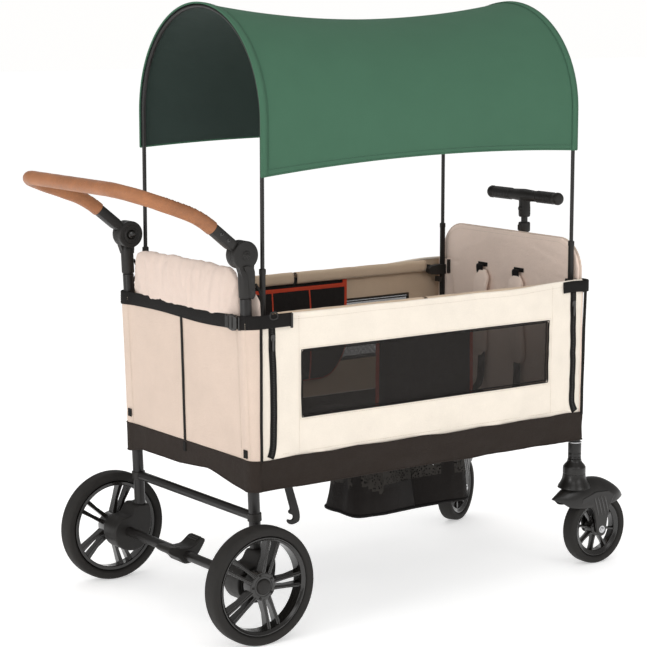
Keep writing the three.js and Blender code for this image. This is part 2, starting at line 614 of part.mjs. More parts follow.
function pullHandle() {
  const { x, pivotZ, tubeRadius, rodRadius, tubeTopZ, rodBottomZ } = PULL;
  const foot = join(
    rod([x, -13, pivotZ], [x, 13, pivotZ], 12),
    rod([x, 0, pivotZ], [x, 0, tubeTopZ], tubeRadius),
    rod([x, 0, tubeTopZ - 22], [x, 0, tubeTopZ], tubeRadius + 3.5),
  );
  const hollow = rod([x, 0, 335], [x, 0, tubeTopZ + 5], rodRadius + 0.5);
  const eye = rod([x, -20, pivotZ], [x, 20, pivotZ], 4.5);
  piece("pull_tube", cut(foot, hollow, eye), FRAME_BLACK);
  const gripBottom = PULL_GRIP.z - PULL_GRIP.radius;
  piece("pull_rod", rod([x, 0, rodBottomZ], [x, 0, gripBottom - 38 - GAP], rodRadius), FRAME_BLACK);
  const bar = rod([x, -PULL_GRIP.halfWidth, PULL_GRIP.z], [x, PULL_GRIP.halfWidth, PULL_GRIP.z], PULL_GRIP.radius);
  const stem = rod([x, 0, gripBottom - 38], [x, 0, PULL_GRIP.z], 15);
  piece("pull_grip", join(bar, stem), PLASTIC_BLACK);
}

// ---- brake -------------------------------------------------------------------------------
// A rocker pedal on a sleeve that turns about the axle tube.
function brakePedal() {
  const z = REAR_WHEEL.radius;
  const outline = [
    [-50, z + 14], [-44, z + 24], [-14, z + 18], [14, z + 18],
    [36, z + 34], [44, z + 28], [22, z - 4], [10, z - 17], [-10, z - 17], [-26, z - 2],
  ];
  const body = plateXZ(outline, -27, 27);
  return cut(body, rod([0, -40, z], [0, 40, z], AXLE.radius + 0.8));
}

rearFrame();
foldingFloor();
topRails();
canopy();
pushHandle();
tub();
frontFrame();
wheels();
casters();
pullHandle();
piece("brake_pedal", brakePedal(), PLASTIC_BLACK);

export default wagon;
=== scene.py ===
import json
import math

import bmesh
import bpy
import numpy as np
from mathutils import Matrix, Vector, noise


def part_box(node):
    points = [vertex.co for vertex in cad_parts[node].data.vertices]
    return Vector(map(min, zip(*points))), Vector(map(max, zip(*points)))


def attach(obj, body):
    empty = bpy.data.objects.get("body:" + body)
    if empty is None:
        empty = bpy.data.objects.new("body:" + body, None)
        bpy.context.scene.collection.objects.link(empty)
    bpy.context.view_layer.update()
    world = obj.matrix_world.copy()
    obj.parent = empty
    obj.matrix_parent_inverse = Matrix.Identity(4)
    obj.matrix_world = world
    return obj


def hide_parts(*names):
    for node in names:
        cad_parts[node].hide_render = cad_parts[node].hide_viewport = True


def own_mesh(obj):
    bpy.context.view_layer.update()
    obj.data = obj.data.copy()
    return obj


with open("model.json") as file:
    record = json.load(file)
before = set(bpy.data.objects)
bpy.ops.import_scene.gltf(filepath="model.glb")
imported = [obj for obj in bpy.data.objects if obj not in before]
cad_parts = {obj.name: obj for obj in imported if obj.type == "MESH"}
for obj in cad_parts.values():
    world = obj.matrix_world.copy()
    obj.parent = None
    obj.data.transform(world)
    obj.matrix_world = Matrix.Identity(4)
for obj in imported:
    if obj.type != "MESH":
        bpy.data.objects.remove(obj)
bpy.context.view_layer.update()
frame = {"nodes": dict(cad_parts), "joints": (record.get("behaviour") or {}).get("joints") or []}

# ---- places and driving sizes, in millimetres ----
# X runs forward from the rear axle, Y to the left of the middle, Z up from the ground.
MM = 0.001
JOINTS = {joint["name"]: joint for joint in frame["joints"]}
AXLE_X = JOINTS["rear_wheel_left_spin"]["pos_m"][0]


def at(x, y, z):
    """The point of the shared frame that lies at these millimetres."""
    return Vector((x * MM + AXLE_X, y * MM, z * MM))


def pivot(joint):
    """A joint's place in the script's millimetres."""
    x, y, z = JOINTS[joint]["pos_m"]
    return np.array([(x - AXLE_X) / MM, y / MM, z / MM])


def extent(node):
    """The lowest and highest corner of a CAD node in the script's millimetres."""
    low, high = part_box(node)
    return [np.array([(c.x - AXLE_X) / MM, c.y / MM, c.z / MM]) for c in (low, high)]


WHEEL_R = pivot("rear_wheel_left_spin")[2]
WHEEL_Y = pivot("rear_wheel_left_spin")[1]
WHEEL_HALF = (extent("rear_tyre_left")[1] - extent("rear_tyre_left")[0])[1] / 2
CASTER_X, CASTER_Y = pivot("caster_left_swivel")[:2]
CASTER_R = pivot("caster_left_spin")[2]
CASTER_HALF = 18
CASTER_TRAIL = pivot("caster_right_spin")[0] - CASTER_X
LEFT_TURN = 28

POST_Y = CASTER_Y
POST_R = 12.5
POST_BOTTOM, POST_TOP = extent("rear_post_left")[0][2], extent("rear_post_left")[1][2]
HANDLE = pivot("handle_tilt")
POST_LOW_X, POST_LOW_Z = 32.7, 254.6
LEAN = (HANDLE[0] - POST_LOW_X) / (HANDLE[2] - POST_LOW_Z)

TUB_SIDE = 267
TUB_REAR, TUB_FRONT = 32, 932
TUB_TOP, SEAM_Z, HEM_Z = 684, 378, 313
STRAP_Z = 668
WINDOW = {"x": (139, 829), "z": (462, 604)}

FOLD_REAR, FOLD_FRONT = pivot("fold")[0], pivot("front_frame_hinge")[0]
FOLD_MIDDLE = pivot("floor_middle")[0]
RAIL_Y, RAIL_Z = pivot("rail_left")[1], pivot("rail_left")[2]

POLE_Y, POLE_REAR, POLE_FRONT = 238, 57.6, 919.4
POLE_R, SPRING_Z = 4.5, 1083
CANOPY_R = POLE_Y + 6
CANOPY_REAR, CANOPY_FRONT = extent("canopy_cover")[0][0], extent("canopy_cover")[1][0]

PULL = pivot("pull_tilt")
GRIP_BAR = (-263, 958)
GRIP_R = 15.5
ARM_RISE = math.radians(39)
ARM_LENGTH = 95
HOOK = pivot("hook_swing")


def post_x(z):
    """Where the leaning rear post is at a height."""
    return POST_LOW_X + LEAN * (z - POST_LOW_Z)


# ---- shapes: lists of points in millimetres with faces ----
def merged(*shapes):
    """Several shapes as one."""
    points, faces = [], []
    for more_points, more_faces in shapes:
        start = len(points)
        points.extend(more_points)
        faces.extend([[start + i for i in face] for face in more_faces])
    return points, faces


def moved(shape, matrix):
    """A shape after a 4 by 4 matrix."""
    points, faces = shape
    return [tuple(matrix @ Vector(p)) for p in points], faces


def circle(radius, sides=24):
    return [
        (radius * math.cos(2 * math.pi * i / sides), radius * math.sin(2 * math.pi * i / sides))
        for i in range(sides)
    ]


def flat_section(width, thickness):
    """The section of a strap: thin, with rounded edges."""
    w, t = width / 2, thickness / 2
    return [(-w, -t * 0.4), (-w + t, -t), (0, -t), (w - t, -t), (w, -t * 0.4),
            (w, t * 0.4), (w - t, t), (0, t), (-w + t, t), (-w, t * 0.4)]


def sweep(points, section, across=None, scales=None, closed=False):
    """A section of (a, b) points carried along a route. The a axis stays as near to across as it can."""
    route = [Vector(p) for p in points]
    count = len(route)
    out, faces = [], []
    side = None
    for i, here in enumerate(route):
        before = route[(i - 1) % count] if closed or i else here
        after = route[(i + 1) % count] if closed or i < count - 1 else here
        run = (after - before).normalized()
        if across is not None:
            side = Vector(across(i) if callable(across) else across)
        elif side is None:
            side = Vector((0, 0, 1)) if abs(run.z) < 0.8 else Vector((1, 0, 0))
        side = (side - run * side.dot(run)).normalized()
        up = run.cross(side)
        size = scales[i] if scales else 1
        out.extend([tuple(here + side * (a * size) + up * (b * size)) for a, b in section])
    n = len(section)
    for i in range(count if closed else count - 1):
        j = (i + 1) % count
        faces.extend([[i * n + k, i * n + (k + 1) % n, j * n + (k + 1) % n, j * n + k] for k in range(n)])
    if not closed:
        faces.append(list(range(n))[::-1])
        faces.append([(count - 1) * n + k for k in range(n)])
    return out, faces


def tube(points, radius, sides=24, closed=False, scales=None):
    return sweep(points, circle(radius, sides), closed=closed, scales=scales)


def turned(profile, centre=(0, 0, 0), axis=(0, 0, 1), sides=64):
    """(radius, distance) points turned about an axis: a closed ring if they end where they start."""
    along = Vector(axis).normalized()
    side = along.orthogonal().normalized()
    up = along.cross(side)
    ring = profile[0] == profile[-1]
    rows = profile[:-1] if ring else profile
    out = []
    for r, h in rows:
        for i in range(sides):
            turn = 2 * math.pi * i / sides
            spot = Vector(centre) + along * h + (side * math.cos(turn) + up * math.sin(turn)) * max(r, 0.01)
            out.append(tuple(spot))
    n, faces = len(rows), []
    for i in range(n if ring else n - 1):
        j = (i + 1) % n
        for k in range(sides):
            faces.append([i * sides + k, i * sides + (k + 1) % sides, j * sides + (k + 1) % sides,
                          j * sides + k])
    if not ring:
        faces.append(list(range(sides))[::-1])
        faces.append([(n - 1) * sides + k for k in range(sides)])
    return out, faces


PLANES = {"xz": lambda a, b, d: (a, d, b), "yz": lambda a, b, d: (d, a, b), "xy": lambda a, b, d: (a, b, d)}


def plate(outline, plane, low, high):
    """An outline in one of the main planes, made solid between two distances from it."""
    place = PLANES[plane]
    n = len(outline)
    out = [place(a, b, low) for a, b in outline] + [place(a, b, high) for a, b in outline]
    faces = [[k, (k + 1) % n, n + (k + 1) % n, n + k] for k in range(n)]
    return out, [*faces, list(range(n))[::-1], [n + k for k in range(n)]]


def block(one, other):
    """A box between two opposite corners."""
    low, high = ([pick(pair) for pair in zip(one, other)] for pick in (min, max))
    return plate([(low[0], low[1]), (high[0], low[1]), (high[0], high[1]), (low[0], high[1])], "xy", low[2],
                 high[2])


def arc(centre, radius, start, end, count):
    """Points on a circle between two angles in degrees."""
    turns = [math.radians(start + (end - start) * i / count) for i in range(count + 1)]
    return [(centre[0] + radius * math.cos(t), centre[1] + radius * math.sin(t)) for t in turns]


def smooth_outline(points, steps=6):
    """A closed outline through the points, with round corners."""
    n, out = len(points), []
    for i in range(n):
        p0, p1, p2, p3 = (np.array(points[(i + k) % n], float) for k in (-1, 0, 1, 2))
        for step in range(steps):
            t = step / steps
            out.append(tuple(0.5 * (2 * p1 + (p2 - p0) * t + (2 * p0 - 5 * p1 + 4 * p2 - p3) * t**2
                                    + (3 * p1 - p0 - 3 * p2 + p3) * t**3)))
    return out


def curve_through(points, steps=8):
    """An open smooth route through the points."""
    spots = [np.array(p, float) for p in points]
    spots = [2 * spots[0] - spots[1], *spots, 2 * spots[-1] - spots[-2]]
    out = []
    for p0, p1, p2, p3 in zip(spots, spots[1:], spots[2:], spots[3:]):
        for step in range(steps):
            t = step / steps
            out.append(tuple(0.5 * (2 * p1 + (p2 - p0) * t + (2 * p0 - 5 * p1 + 4 * p2 - p3) * t**2
                                    + (3 * p1 - p0 - 3 * p2 + p3) * t**3)))
    return [*out, tuple(spots[-2])]


def spread(start, end, step):
    """Even places from start to end, about a step apart."""
    count = max(1, round(abs(end - start) / step))
    return [start + (end - start) * i / count for i in range(count + 1)]


def grid(point, us, vs, skip=None):
    """Faces over the places us by vs, where point(u, v) gives the corner and skip leaves faces out."""
    out = [tuple(point(u, v)) for u in us for v in vs]
    rows, faces = len(vs), []
    for i in range(len(us) - 1):
        for j in range(rows - 1):
            middle = ((us[i] + us[i + 1]) / 2, (vs[j] + vs[j + 1]) / 2)
            if skip is None or not skip(*middle):
                faces.append([i * rows + j, (i + 1) * rows + j, (i + 1) * rows + j + 1, i * rows + j + 1])
    return out, faces


def ripple(x, y, z, size, seed=0.0):
    """Smooth noise from -1 to 1 with waves of about this many millimetres."""
    return noise.noise(Vector((x / size + seed * 7.13, y / size - seed * 3.71, z / size + seed)))


def stitches(route, pitch=4.6, radius=0.42, share=0.62):
    """A dashed seam of short raised threads along a route."""
    spots = [Vector(p) for p in route]
    lengths = np.cumsum([0.0] + [(b - a).length for a, b in zip(spots, spots[1:])])
    rows = np.array([tuple(p) for p in spots])

    def along(s):
        return tuple(np.interp(s, lengths, rows[:, k]) for k in range(3))

    shapes = []
    for s in np.arange(pitch / 2, lengths[-1] - pitch * share, pitch):
        shapes.append(tube([along(s), along(s + pitch * share / 2), along(s + pitch * share)], radius, 5,
                           scales=[0.6, 1, 0.6]))
    return merged(*shapes)


def screw(centre, axis, radius=4.0, proud=2.0):
    """A domed screw head with a round recess, standing on centre and facing along the axis."""
    dome = [(0.0, proud * 0.35), (radius * 0.34, proud * 0.35), (radius * 0.42, proud),
            (radius * 0.75, proud * 0.85),
            (radius, proud * 0.35), (radius, -1.5), (0.0, -1.5)]
    return turned(dome, centre, axis, 18)


# ---- objects ----
SOFT_ANGLE = math.radians(38)


def add(name, shape, material, body=None, replaces=(), inside=None, sharp=SOFT_ANGLE):
    """One named piece from a shape, with its material, on its CAD body."""
    mesh = bpy.data.meshes.new(name)
    mesh.from_pydata([at(*p) for p in shape[0]], [], shape[1])
    tidy = bmesh.new()
    tidy.from_mesh(mesh)
    bmesh.ops.remove_doubles(tidy, verts=tidy.verts, dist=0.00003)
    bmesh.ops.recalc_face_normals(tidy, faces=tidy.faces)
    tidy.to_mesh(mesh)
    tidy.free()
    mesh.shade_smooth()
    mesh.set_sharp_from_angle(angle=sharp)
    piece = bpy.data.objects.new(name, mesh)
    bpy.context.scene.collection.objects.link(piece)
    mesh.materials.append(material)
    if inside is not None:
        mesh.materials.append(inside)
    if body is not None:
        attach(piece, body)
    if replaces:
        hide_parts(*replaces)
    return piece


def facing(piece, direction):
    """Turns every face of an open sheet so that they look along a direction on average."""
    total = Vector()
    for face in piece.data.polygons:
        total += face.normal * face.area
    if total.dot(Vector(direction)) < 0:
        piece.data.flip_normals()
    return piece


def rounded(piece, width, segments=3):
    """Rounds the sharp edges of a hard piece, and shades it smooth."""
    bevel = piece.modifiers.new("bevel", "BEVEL")
    bevel.width = width * MM
    bevel.segments = segments
    bevel.limit_method = "ANGLE"
    bevel.angle_limit = math.radians(32)
    bevel.harden_normals = True
    return piece


def cloth(piece, thickness, smooth=1, inside=False, offset=0.0):
    """Gives an open sheet its thickness, the second material inside if it has one, and fine faces."""
    shell = piece.modifiers.new("thickness", "SOLIDIFY")
    shell.thickness = thickness * MM
    shell.offset = offset
    if inside:
        shell.material_offset = 1
    if smooth:
        fine = piece.modifiers.new("fine", "SUBSURF")
        fine.levels = smooth
        fine.render_levels = smooth
    return piece


def fold_with(piece):
    """Gives a fabric piece between the rear and front frame its own copy of its mesh."""
    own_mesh(piece)
    return piece


# ---- materials ----
def srgb(r, g, b):
    """A colour as sRGB values from 0 to 255."""
    channels = [c / 255 for c in (r, g, b)]
    linear = [c / 12.92 if c <= 0.04045 else ((c + 0.055) / 1.055) ** 2.4 for c in channels]
    return (*linear, 1.0)


class Finish:
    """A material under construction: short calls that add and join its nodes."""

    def __init__(self, name, colour, roughness, metallic=0.0):
        self.material = bpy.data.materials.new(name)
        self.material.use_nodes = True
        self.tree = self.material.node_tree
        self.shader = self.tree.nodes["Principled BSDF"]
        self.colour = colour
        self.shader.inputs["Base Color"].default_value = colour
        self.shader.inputs["Roughness"].default_value = roughness
        self.shader.inputs["Metallic"].default_value = metallic
        coordinates = self.tree.nodes.new("ShaderNodeTexCoord")
        self.place = coordinates.outputs["Object"]

    def join(self, value, socket):
        if isinstance(value, bpy.types.NodeSocket):
            self.tree.links.new(value, socket)
        else:
            socket.default_value = value

    def maths(self, operation, a, b=0.5, c=0.5):
        node = self.tree.nodes.new("ShaderNodeMath")
        node.operation = operation
        for value, socket in zip((a, b, c), node.inputs):
            self.join(value, socket)
        return node.outputs[0]

    def noise(self, size, detail=3.0, roughness=0.6, stretch=(1, 1, 1)):
        """Noise from 0 to 1 with features of about this many millimetres."""
        mapping = self.tree.nodes.new("ShaderNodeMapping")
        mapping.inputs["Scale"].default_value = [s / (size * MM) for s in stretch]
        self.join(self.place, mapping.inputs["Vector"])
        node = self.tree.nodes.new("ShaderNodeTexNoise")
        node.inputs["Scale"].default_value = 1.0
        node.inputs["Detail"].default_value = detail
        node.inputs["Roughness"].default_value = roughness
        self.join(mapping.outputs[0], node.inputs["Vector"])
        return node.outputs[0]

    def cells(self, size, feature="DISTANCE_TO_EDGE"):
        node = self.tree.nodes.new("ShaderNodeTexVoronoi")
        node.feature = feature
        node.inputs["Scale"].default_value = 1 / (size * MM)
        self.join(self.place, node.inputs["Vector"])
        return node.outputs["Distance"]

    def weave(self, pitch):
        """Height of an over-and-under weave that reads much the same on every side of the object."""
        waves = []
        for way in ((1, 0.15, 1), (1, 1, -1)):
            dot = self.tree.nodes.new("ShaderNodeVectorMath")
            dot.operation = "DOT_PRODUCT"
            self.join(self.place, dot.inputs[0])
            dot.inputs[1].default_value = [w * 2 * math.pi / (1.5 * pitch * MM) for w in way]
            waves.append(self.maths("SINE", dot.outputs["Value"]))
        return self.maths("MULTIPLY", *waves)

    def span(self, value, low, high, to_low=0.0, to_high=1.0):
        node = self.tree.nodes.new("ShaderNodeMapRange")
        for number, socket in zip((value, low, high, to_low, to_high), node.inputs):
            self.join(number, socket)
        return node.outputs[0]

    def tint(self, factor, darker, lighter):
        """The colour between two shades of itself."""
        node = self.tree.nodes.new("ShaderNodeMix")
        node.data_type = "RGBA"
        self.join(factor, node.inputs[0])
        node.inputs["A"].default_value = [c * darker for c in self.colour[:3]] + [1]
        node.inputs["B"].default_value = [min(1, c * lighter) for c in self.colour[:3]] + [1]
        return node.outputs["Result"]

    def mix(self, factor, a, b):
        node = self.tree.nodes.new("ShaderNodeMix")
        node.data_type = "RGBA"
        self.join(factor, node.inputs[0])
        self.join(a, node.inputs["A"])
        self.join(b, node.inputs["B"])
        return node.outputs["Result"]

    def bump(self, height, depth, strength=1.0, below=None):
        """A bump this many millimetres deep, on top of another."""
        node = self.tree.nodes.new("ShaderNodeBump")
        node.inputs["Strength"].default_value = strength
        node.inputs["Distance"].default_value = depth * MM
        self.join(height, node.inputs["Height"])
        if below is not None:
            self.join(below, node.inputs["Normal"])
        return node.outputs[0]

    def finish(self, colour=None, roughness=None, normal=None, alpha=None):
        for value, socket in ((colour, "Base Color"), (roughness, "Roughness"), (normal, "Normal"),
                              (alpha, "Alpha")):
            if value is not None:
                self.join(value, self.shader.inputs[socket])
        return self.material

    def edges(self):
        """Near 1 on outward edges and 0 elsewhere."""
        geometry = self.tree.nodes.new("ShaderNodeNewGeometry")
        return self.span(geometry.outputs["Pointiness"], 0.52, 0.62)


def fabric(name, colour, pitch=1.3, rough=0.88, crinkle=0.5, sheen=0.12, variation=0.05):
    """Woven polyester: an over-and-under weave, uneven threads and faint creases."""
    made = Finish(name, colour, rough)
    made.shader.inputs["Sheen Weight"].default_value = sheen
    made.shader.inputs["Sheen Roughness"].default_value = 0.5
    made.shader.inputs["Specular IOR Level"].default_value = 0.25
    threads = made.weave(pitch)
    blotch = made.noise(90, 4)
    slub = made.noise(2.2, 2)
    shade = made.maths("ADD", made.maths("MULTIPLY", blotch, 0.6), made.maths("MULTIPLY", slub, 0.4))
    creases = made.noise(26, 5, 0.55)
    height = made.bump(creases, crinkle * 3.2)
    height = made.bump(threads, 0.16, below=height)
    height = made.bump(slub, 0.1, below=height)
    return made.finish(
        colour=made.tint(made.span(shade, 0.3, 0.7), 1 - variation * 1.5, 1 + variation),
        roughness=made.span(slub, 0.3, 0.7, rough - 0.06, min(1.0, rough + 0.06)),
        normal=height,
    )


def mesh_cloth(name, colour, hole=0.38, pitch=2.0, rough=0.7, flat=True):
    """Knitted mesh. A flat panel thins out in slanting rows, and a bag has open cells."""
    made = Finish(name, colour, rough)
    made.shader.inputs["Specular IOR Level"].default_value = 0.3
    if flat:
        parts = made.tree.nodes.new("ShaderNodeSeparateXYZ")
        made.join(made.place, parts.inputs[0])
        x, z = parts.outputs[0], parts.outputs[2]
        rows = [made.maths("SINE", made.maths("MULTIPLY", made.maths(way, x, z), math.pi / (pitch * MM)))
                for way in ("ADD", "SUBTRACT")]
        knit = made.maths("ABSOLUTE", made.maths("MULTIPLY", *rows))
        # the holes are finer than the picture's pixels, so they thin the cloth smoothly
        solid = made.span(knit, 0.2, 1.0, 0.94, 1 - hole * 0.75)
    else:
        knit = made.cells(pitch, "F1")
        solid = made.maths("GREATER_THAN", knit, hole)
    slub = made.noise(1.5, 2)
    return made.finish(
        colour=made.tint(slub, 0.75, 1.25),
        roughness=made.span(slub, 0.3, 0.7, rough - 0.1, rough + 0.1),
        normal=made.bump(knit, 0.25),
        alpha=solid,
    )


def webbing(name, colour, pitch=2.4):
    """Tight ribbed webbing."""
    made = Finish(name, colour, 0.7)
    made.shader.inputs["Specular IOR Level"].default_value = 0.2
    ribs = made.weave(pitch)
    fuzz = made.noise(1.2, 3)
    return made.finish(
        colour=made.tint(made.span(ribs, -1, 1), 0.7, 1.35),
        roughness=made.span(fuzz, 0.3, 0.7, 0.6, 0.85),
        normal=made.bump(fuzz, 0.12, below=made.bump(ribs, 0.35)),
    )


def leather(name, colour):
    """Stitched grip leather: a pebbled grain in uneven tones, darker in the pores."""
    made = Finish(name, colour, 0.5)
    made.shader.inputs["Coat Weight"].default_value = 0.12
    made.shader.inputs["Coat Roughness"].default_value = 0.35
    pores = made.cells(1.7)
    grain = made.noise(6, 5)
    patches = made.noise(55, 3)
    shade = made.maths("ADD", made.maths("MULTIPLY", grain, 0.4), made.maths("MULTIPLY", patches, 0.6))
    tone = made.tint(made.span(shade, 0.32, 0.68), 0.72, 1.22)
    dark = made.mix(made.span(pores, 0.0, 0.12, 0.45, 0.0), tone, [c * 0.45 for c in colour[:3]] + [1])
    return made.finish(
        colour=dark,
        roughness=made.span(grain, 0.3, 0.7, 0.42, 0.62),
        normal=made.bump(grain, 0.35, below=made.bump(made.span(pores, 0.0, 0.25), 0.3)),
    )


def moulded(name, colour, rough=0.5, grain=0.5, depth=0.05, wear=1.5, coat=0.0):
    """Moulded plastic: a fine spark-eroded grain, with slightly paler edges."""
    made = Finish(name, colour, rough)
    made.shader.inputs["Specular IOR Level"].default_value = 0.35
    made.shader.inputs["Coat Weight"].default_value = coat
    made.shader.inputs["Coat Roughness"].default_value = 0.2
    fine = made.noise(grain, 2)
    scuffs = made.noise(24, 6, 0.65)
    body = made.tint(made.span(scuffs, 0.35, 0.7), 0.88, 1.15)
    paler = [min(1, c * wear + 0.004) for c in colour[:3]] + [1]
    return made.finish(
        colour=made.mix(made.maths("MULTIPLY", made.edges(), 0.6), body, paler),
        roughness=made.span(scuffs, 0.3, 0.7, rough - 0.08, min(1, rough + 0.1)),
        normal=made.bump(fine, depth),
    )


def coated_steel(name, colour):
    """Powder-coated tube: a fine orange-peel skin with a soft gloss."""
    made = Finish(name, colour, 0.38)
    made.shader.inputs["Coat Weight"].default_value = 0.12
    made.shader.inputs["Coat Roughness"].default_value = 0.25
    made.shader.inputs["Specular IOR Level"].default_value = 0.35
    peel = made.noise(1.6, 2)
    dust = made.noise(40, 5)
    return made.finish(
        colour=made.tint(made.span(dust, 0.35, 0.7), 0.9, 1.2),
        roughness=made.span(dust, 0.3, 0.7, 0.32, 0.46),
        normal=made.bump(peel, 0.04),
    )


def rubber(name, colour):
    """Foamed tyre rubber, matt and slightly chalky, with scuffed tread."""
    made = Finish(name, colour, 0.8)
    made.shader.inputs["Specular IOR Level"].default_value = 0.35
    skin = made.noise(0.9, 3)
    chalk = made.noise(18, 5, 0.7)
    return made.finish(
        colour=made.tint(made.span(chalk, 0.35, 0.7), 0.8, 1.3),
        roughness=made.span(chalk, 0.3, 0.7, 0.68, 0.88),
        normal=made.bump(skin, 0.1),
    )


def bright_steel(name, colour):
    made = Finish(name, colour, 0.25, 1.0)
    turning = made.noise(3, 4, stretch=(1, 8, 1))
    return made.finish(
        colour=made.tint(turning, 0.85, 1.05),
        roughness=made.span(turning, 0.3, 0.7, 0.18, 0.34),
        normal=made.bump(turning, 0.02),
    )


STEEL_BLACK = coated_steel("steel_black", srgb(27, 25, 24))
PLASTIC = moulded("plastic", srgb(30, 28, 26), 0.5)
PLASTIC_DARK = moulded("plastic_dark", srgb(27, 25, 23), 0.36, coat=0.2)
GLOSS = moulded("gloss_plastic", srgb(24, 22, 20), 0.2, grain=1.2, depth=0.012, wear=2.2, coat=0.7)
TYRE = rubber("tyre_rubber", srgb(34, 32, 30))
LEATHER = leather("leather_tan", srgb(164, 106, 66))
LEATHER_THREAD = fabric("leather_thread", srgb(106, 62, 34), pitch=0.8, crinkle=0)
BLUSH = fabric("fabric_blush", srgb(212, 192, 177))
BLUSH_LINING = fabric("fabric_blush_lining", srgb(240, 219, 205))
BLUSH_PAD = fabric("fabric_blush_pad", srgb(219, 200, 188), crinkle=0.8)
CREAM = fabric("fabric_cream", srgb(242, 232, 218))
# painted shade: a tan that stands in for the shade on the inner faces of the tub walls and on the rail
# sleeves
TAN_PAINTED_SHADE = fabric("fabric_tan_painted_shade", srgb(212, 188, 162))
GREEN = fabric("fabric_green", srgb(68, 106, 84), sheen=0.0, variation=0.03, crinkle=0.25)
# a darker lining for the canopy's inner face, darkened further by painted shade
GREEN_LINING_PAINTED_SHADE = fabric("fabric_green_lining_painted_shade", srgb(52, 66, 61), sheen=0.05, crinkle=0.3)
SKIRT = fabric("fabric_skirt", srgb(44, 36, 31), crinkle=1.2, sheen=0.02)
BLACK_CLOTH = fabric("fabric_black", srgb(32, 28, 26), crinkle=0.9, sheen=0.05)
MAT_CLOTH = fabric("fabric_mat", srgb(52, 50, 49), crinkle=0.8)
WEB = webbing("webbing_black", srgb(24, 22, 21))
RED = webbing("trim_red", srgb(214, 78, 52), 1.6)
PIPING = fabric("piping_black", srgb(26, 24, 22), pitch=1.0, crinkle=0.1, sheen=0.03)
MESH = mesh_cloth("mesh_black", srgb(28, 24, 21), hole=0.68)
NET = mesh_cloth("net_grey", srgb(52, 48, 44), hole=0.38, pitch=5.0, flat=False)
THREAD_CREAM = fabric("thread_cream", srgb(206, 192, 174), pitch=0.6, crinkle=0)
THREAD_GREEN = fabric("thread_green", srgb(42, 76, 60), pitch=0.6, crinkle=0)
STEEL = bright_steel("bright_steel", srgb(196, 196, 198))
SIDES = (("left", 1), ("right", -1))


# ---- camera ----
CAMERA_LENS = 114.95
CAMERA_PLACE = (-2.7196, -3.7838, 1.3392)
CAMERA_AIM = (0.57323, 0.80439, -0.15612)


def make_camera():
    data = bpy.data.cameras.new("camera")
    data.lens, data.sensor_width = CAMERA_LENS, 36.0
    camera = bpy.data.objects.new("camera", data)
    bpy.context.scene.collection.objects.link(camera)
    camera.location = CAMERA_PLACE
    camera.rotation_mode = "QUATERNION"
    camera.rotation_quaternion = Vector(CAMERA_AIM).to_track_quat("-Z", "Y")
    bpy.context.scene.camera = camera


make_camera()


# ---- rear frame ----
def post_tube(x_low, z_low, x_high, z_high, y, radius=POST_R):
    """A tube with slightly rounded ends."""
    low, high = np.array([x_low, y, z_low]), np.array([x_high, y, z_high])
    run = (high - low) / np.linalg.norm(high - low)
    route = [low, low + run * 1.2, low + run * 3, high - run * 3, high - run * 1.2, high]
    return tube([tuple(p) for p in route], radius, 32, scales=[0.9, 0.98, 1, 1, 0.98, 0.9])


def rear_frame():
    for name, side in SIDES:
        y = side * POST_Y
        post = post_tube(post_x(POST_BOTTOM), POST_BOTTOM, post_x(POST_TOP), POST_TOP, y)
        add(f"rear_post_tube_{name}", post, STEEL_BLACK, "rear_frame", [f"rear_post_{name}"])
        # a moulded band where the sill and the cross tube meet the post
        bands = [
            turned([(12.6, -9), (15.2, -8), (15.2, 8), (12.6, 9), (12.6, -9)], (post_x(z), y, z),
                   (LEAN, 0, 1), 40)
            for z in (POST_LOW_Z, 332)
        ]
        add(f"post_bands_{name}", merged(*bands), PLASTIC, "rear_frame")
    reach = POST_Y - POST_R - 0.5
    bar = tube([(post_x(POST_LOW_Z), -reach, POST_LOW_Z), (post_x(POST_LOW_Z), reach, POST_LOW_Z)], 10, 32)
    add("rear_cross_tube", bar, STEEL_BLACK, "rear_frame", ["rear_crossbar"])
    axle = merged(
        tube([(0, -284, WHEEL_R), (0, 284, WHEEL_R)], 11, 32),
        tube([(0, -322, WHEEL_R), (0, 322, WHEEL_R)], 6, 24),
    )
    add("rear_axle_tube", axle, STEEL_BLACK, "rear_frame", ["rear_axle"])
    for name, side in SIDES:
        axle_housing(name, side)


def axle_housing(name, side):
    """The moulded foot of the rear post: a ribbed shell round the axle with a screw on its outer face."""
    top = POST_BOTTOM - 1
    inner, outer = sorted((side * 227, side * 284))
    outline = smooth_outline(
        [(20, top), (38, top + 0.5), (53, top - 1), (58, 150), (50, 112), (34, 88), (10, 81),
         (-18, 88), (-34, 106), (-38, 126), (-34, 144), (-18, 158), (6, 165)], 5)
    shell = plate(outline, "xz", inner, outer)
    body = add(f"axle_foot_{name}", shell, PLASTIC, "rear_frame", [f"axle_housing_{name}"])
    rounded(body, 3.5)
    face = side * 284
    details = [screw((28, face, 160), (0, side, 0), 4.2, 2)]
    details.append(turned([(15, 0), (19, 0), (20, 1), (20, 3), (15, 3), (15, 0)],
                          (0, face - side * 1, WHEEL_R), (0, side, 0), 40))
    for step in range(4):
        x = -30 + step * 9
        details.append(block((x, face, 112 + step), (x + 3, face + side * 2.4, 140 + step * 4)))
    for step in range(3):
        z = 140 + step * 12
        details.append(block((59.5 - step, side * 255.5 - 19, z - 2), (61 - step, side * 255.5 + 19, z + 2)))
    rounded(add(f"axle_foot_ribs_{name}", merged(*details), PLASTIC, "rear_frame"),
            0.7, 2)


# ---- wheels ----
def tyre_profile(outer, inner, half):
    """A thick rounded tyre."""
    middle, deep = (outer + inner) / 2, (outer - inner) / 2
    points = []
    for i in range(44):
        t = 2 * math.pi * i / 44
        c, s = math.cos(t), math.sin(t)
        r = middle + deep * math.copysign(abs(c) ** 0.62, c)
        w = half * math.copysign(abs(s) ** 0.5, s)
        points.append((r, w))
    return [*points, points[0]]


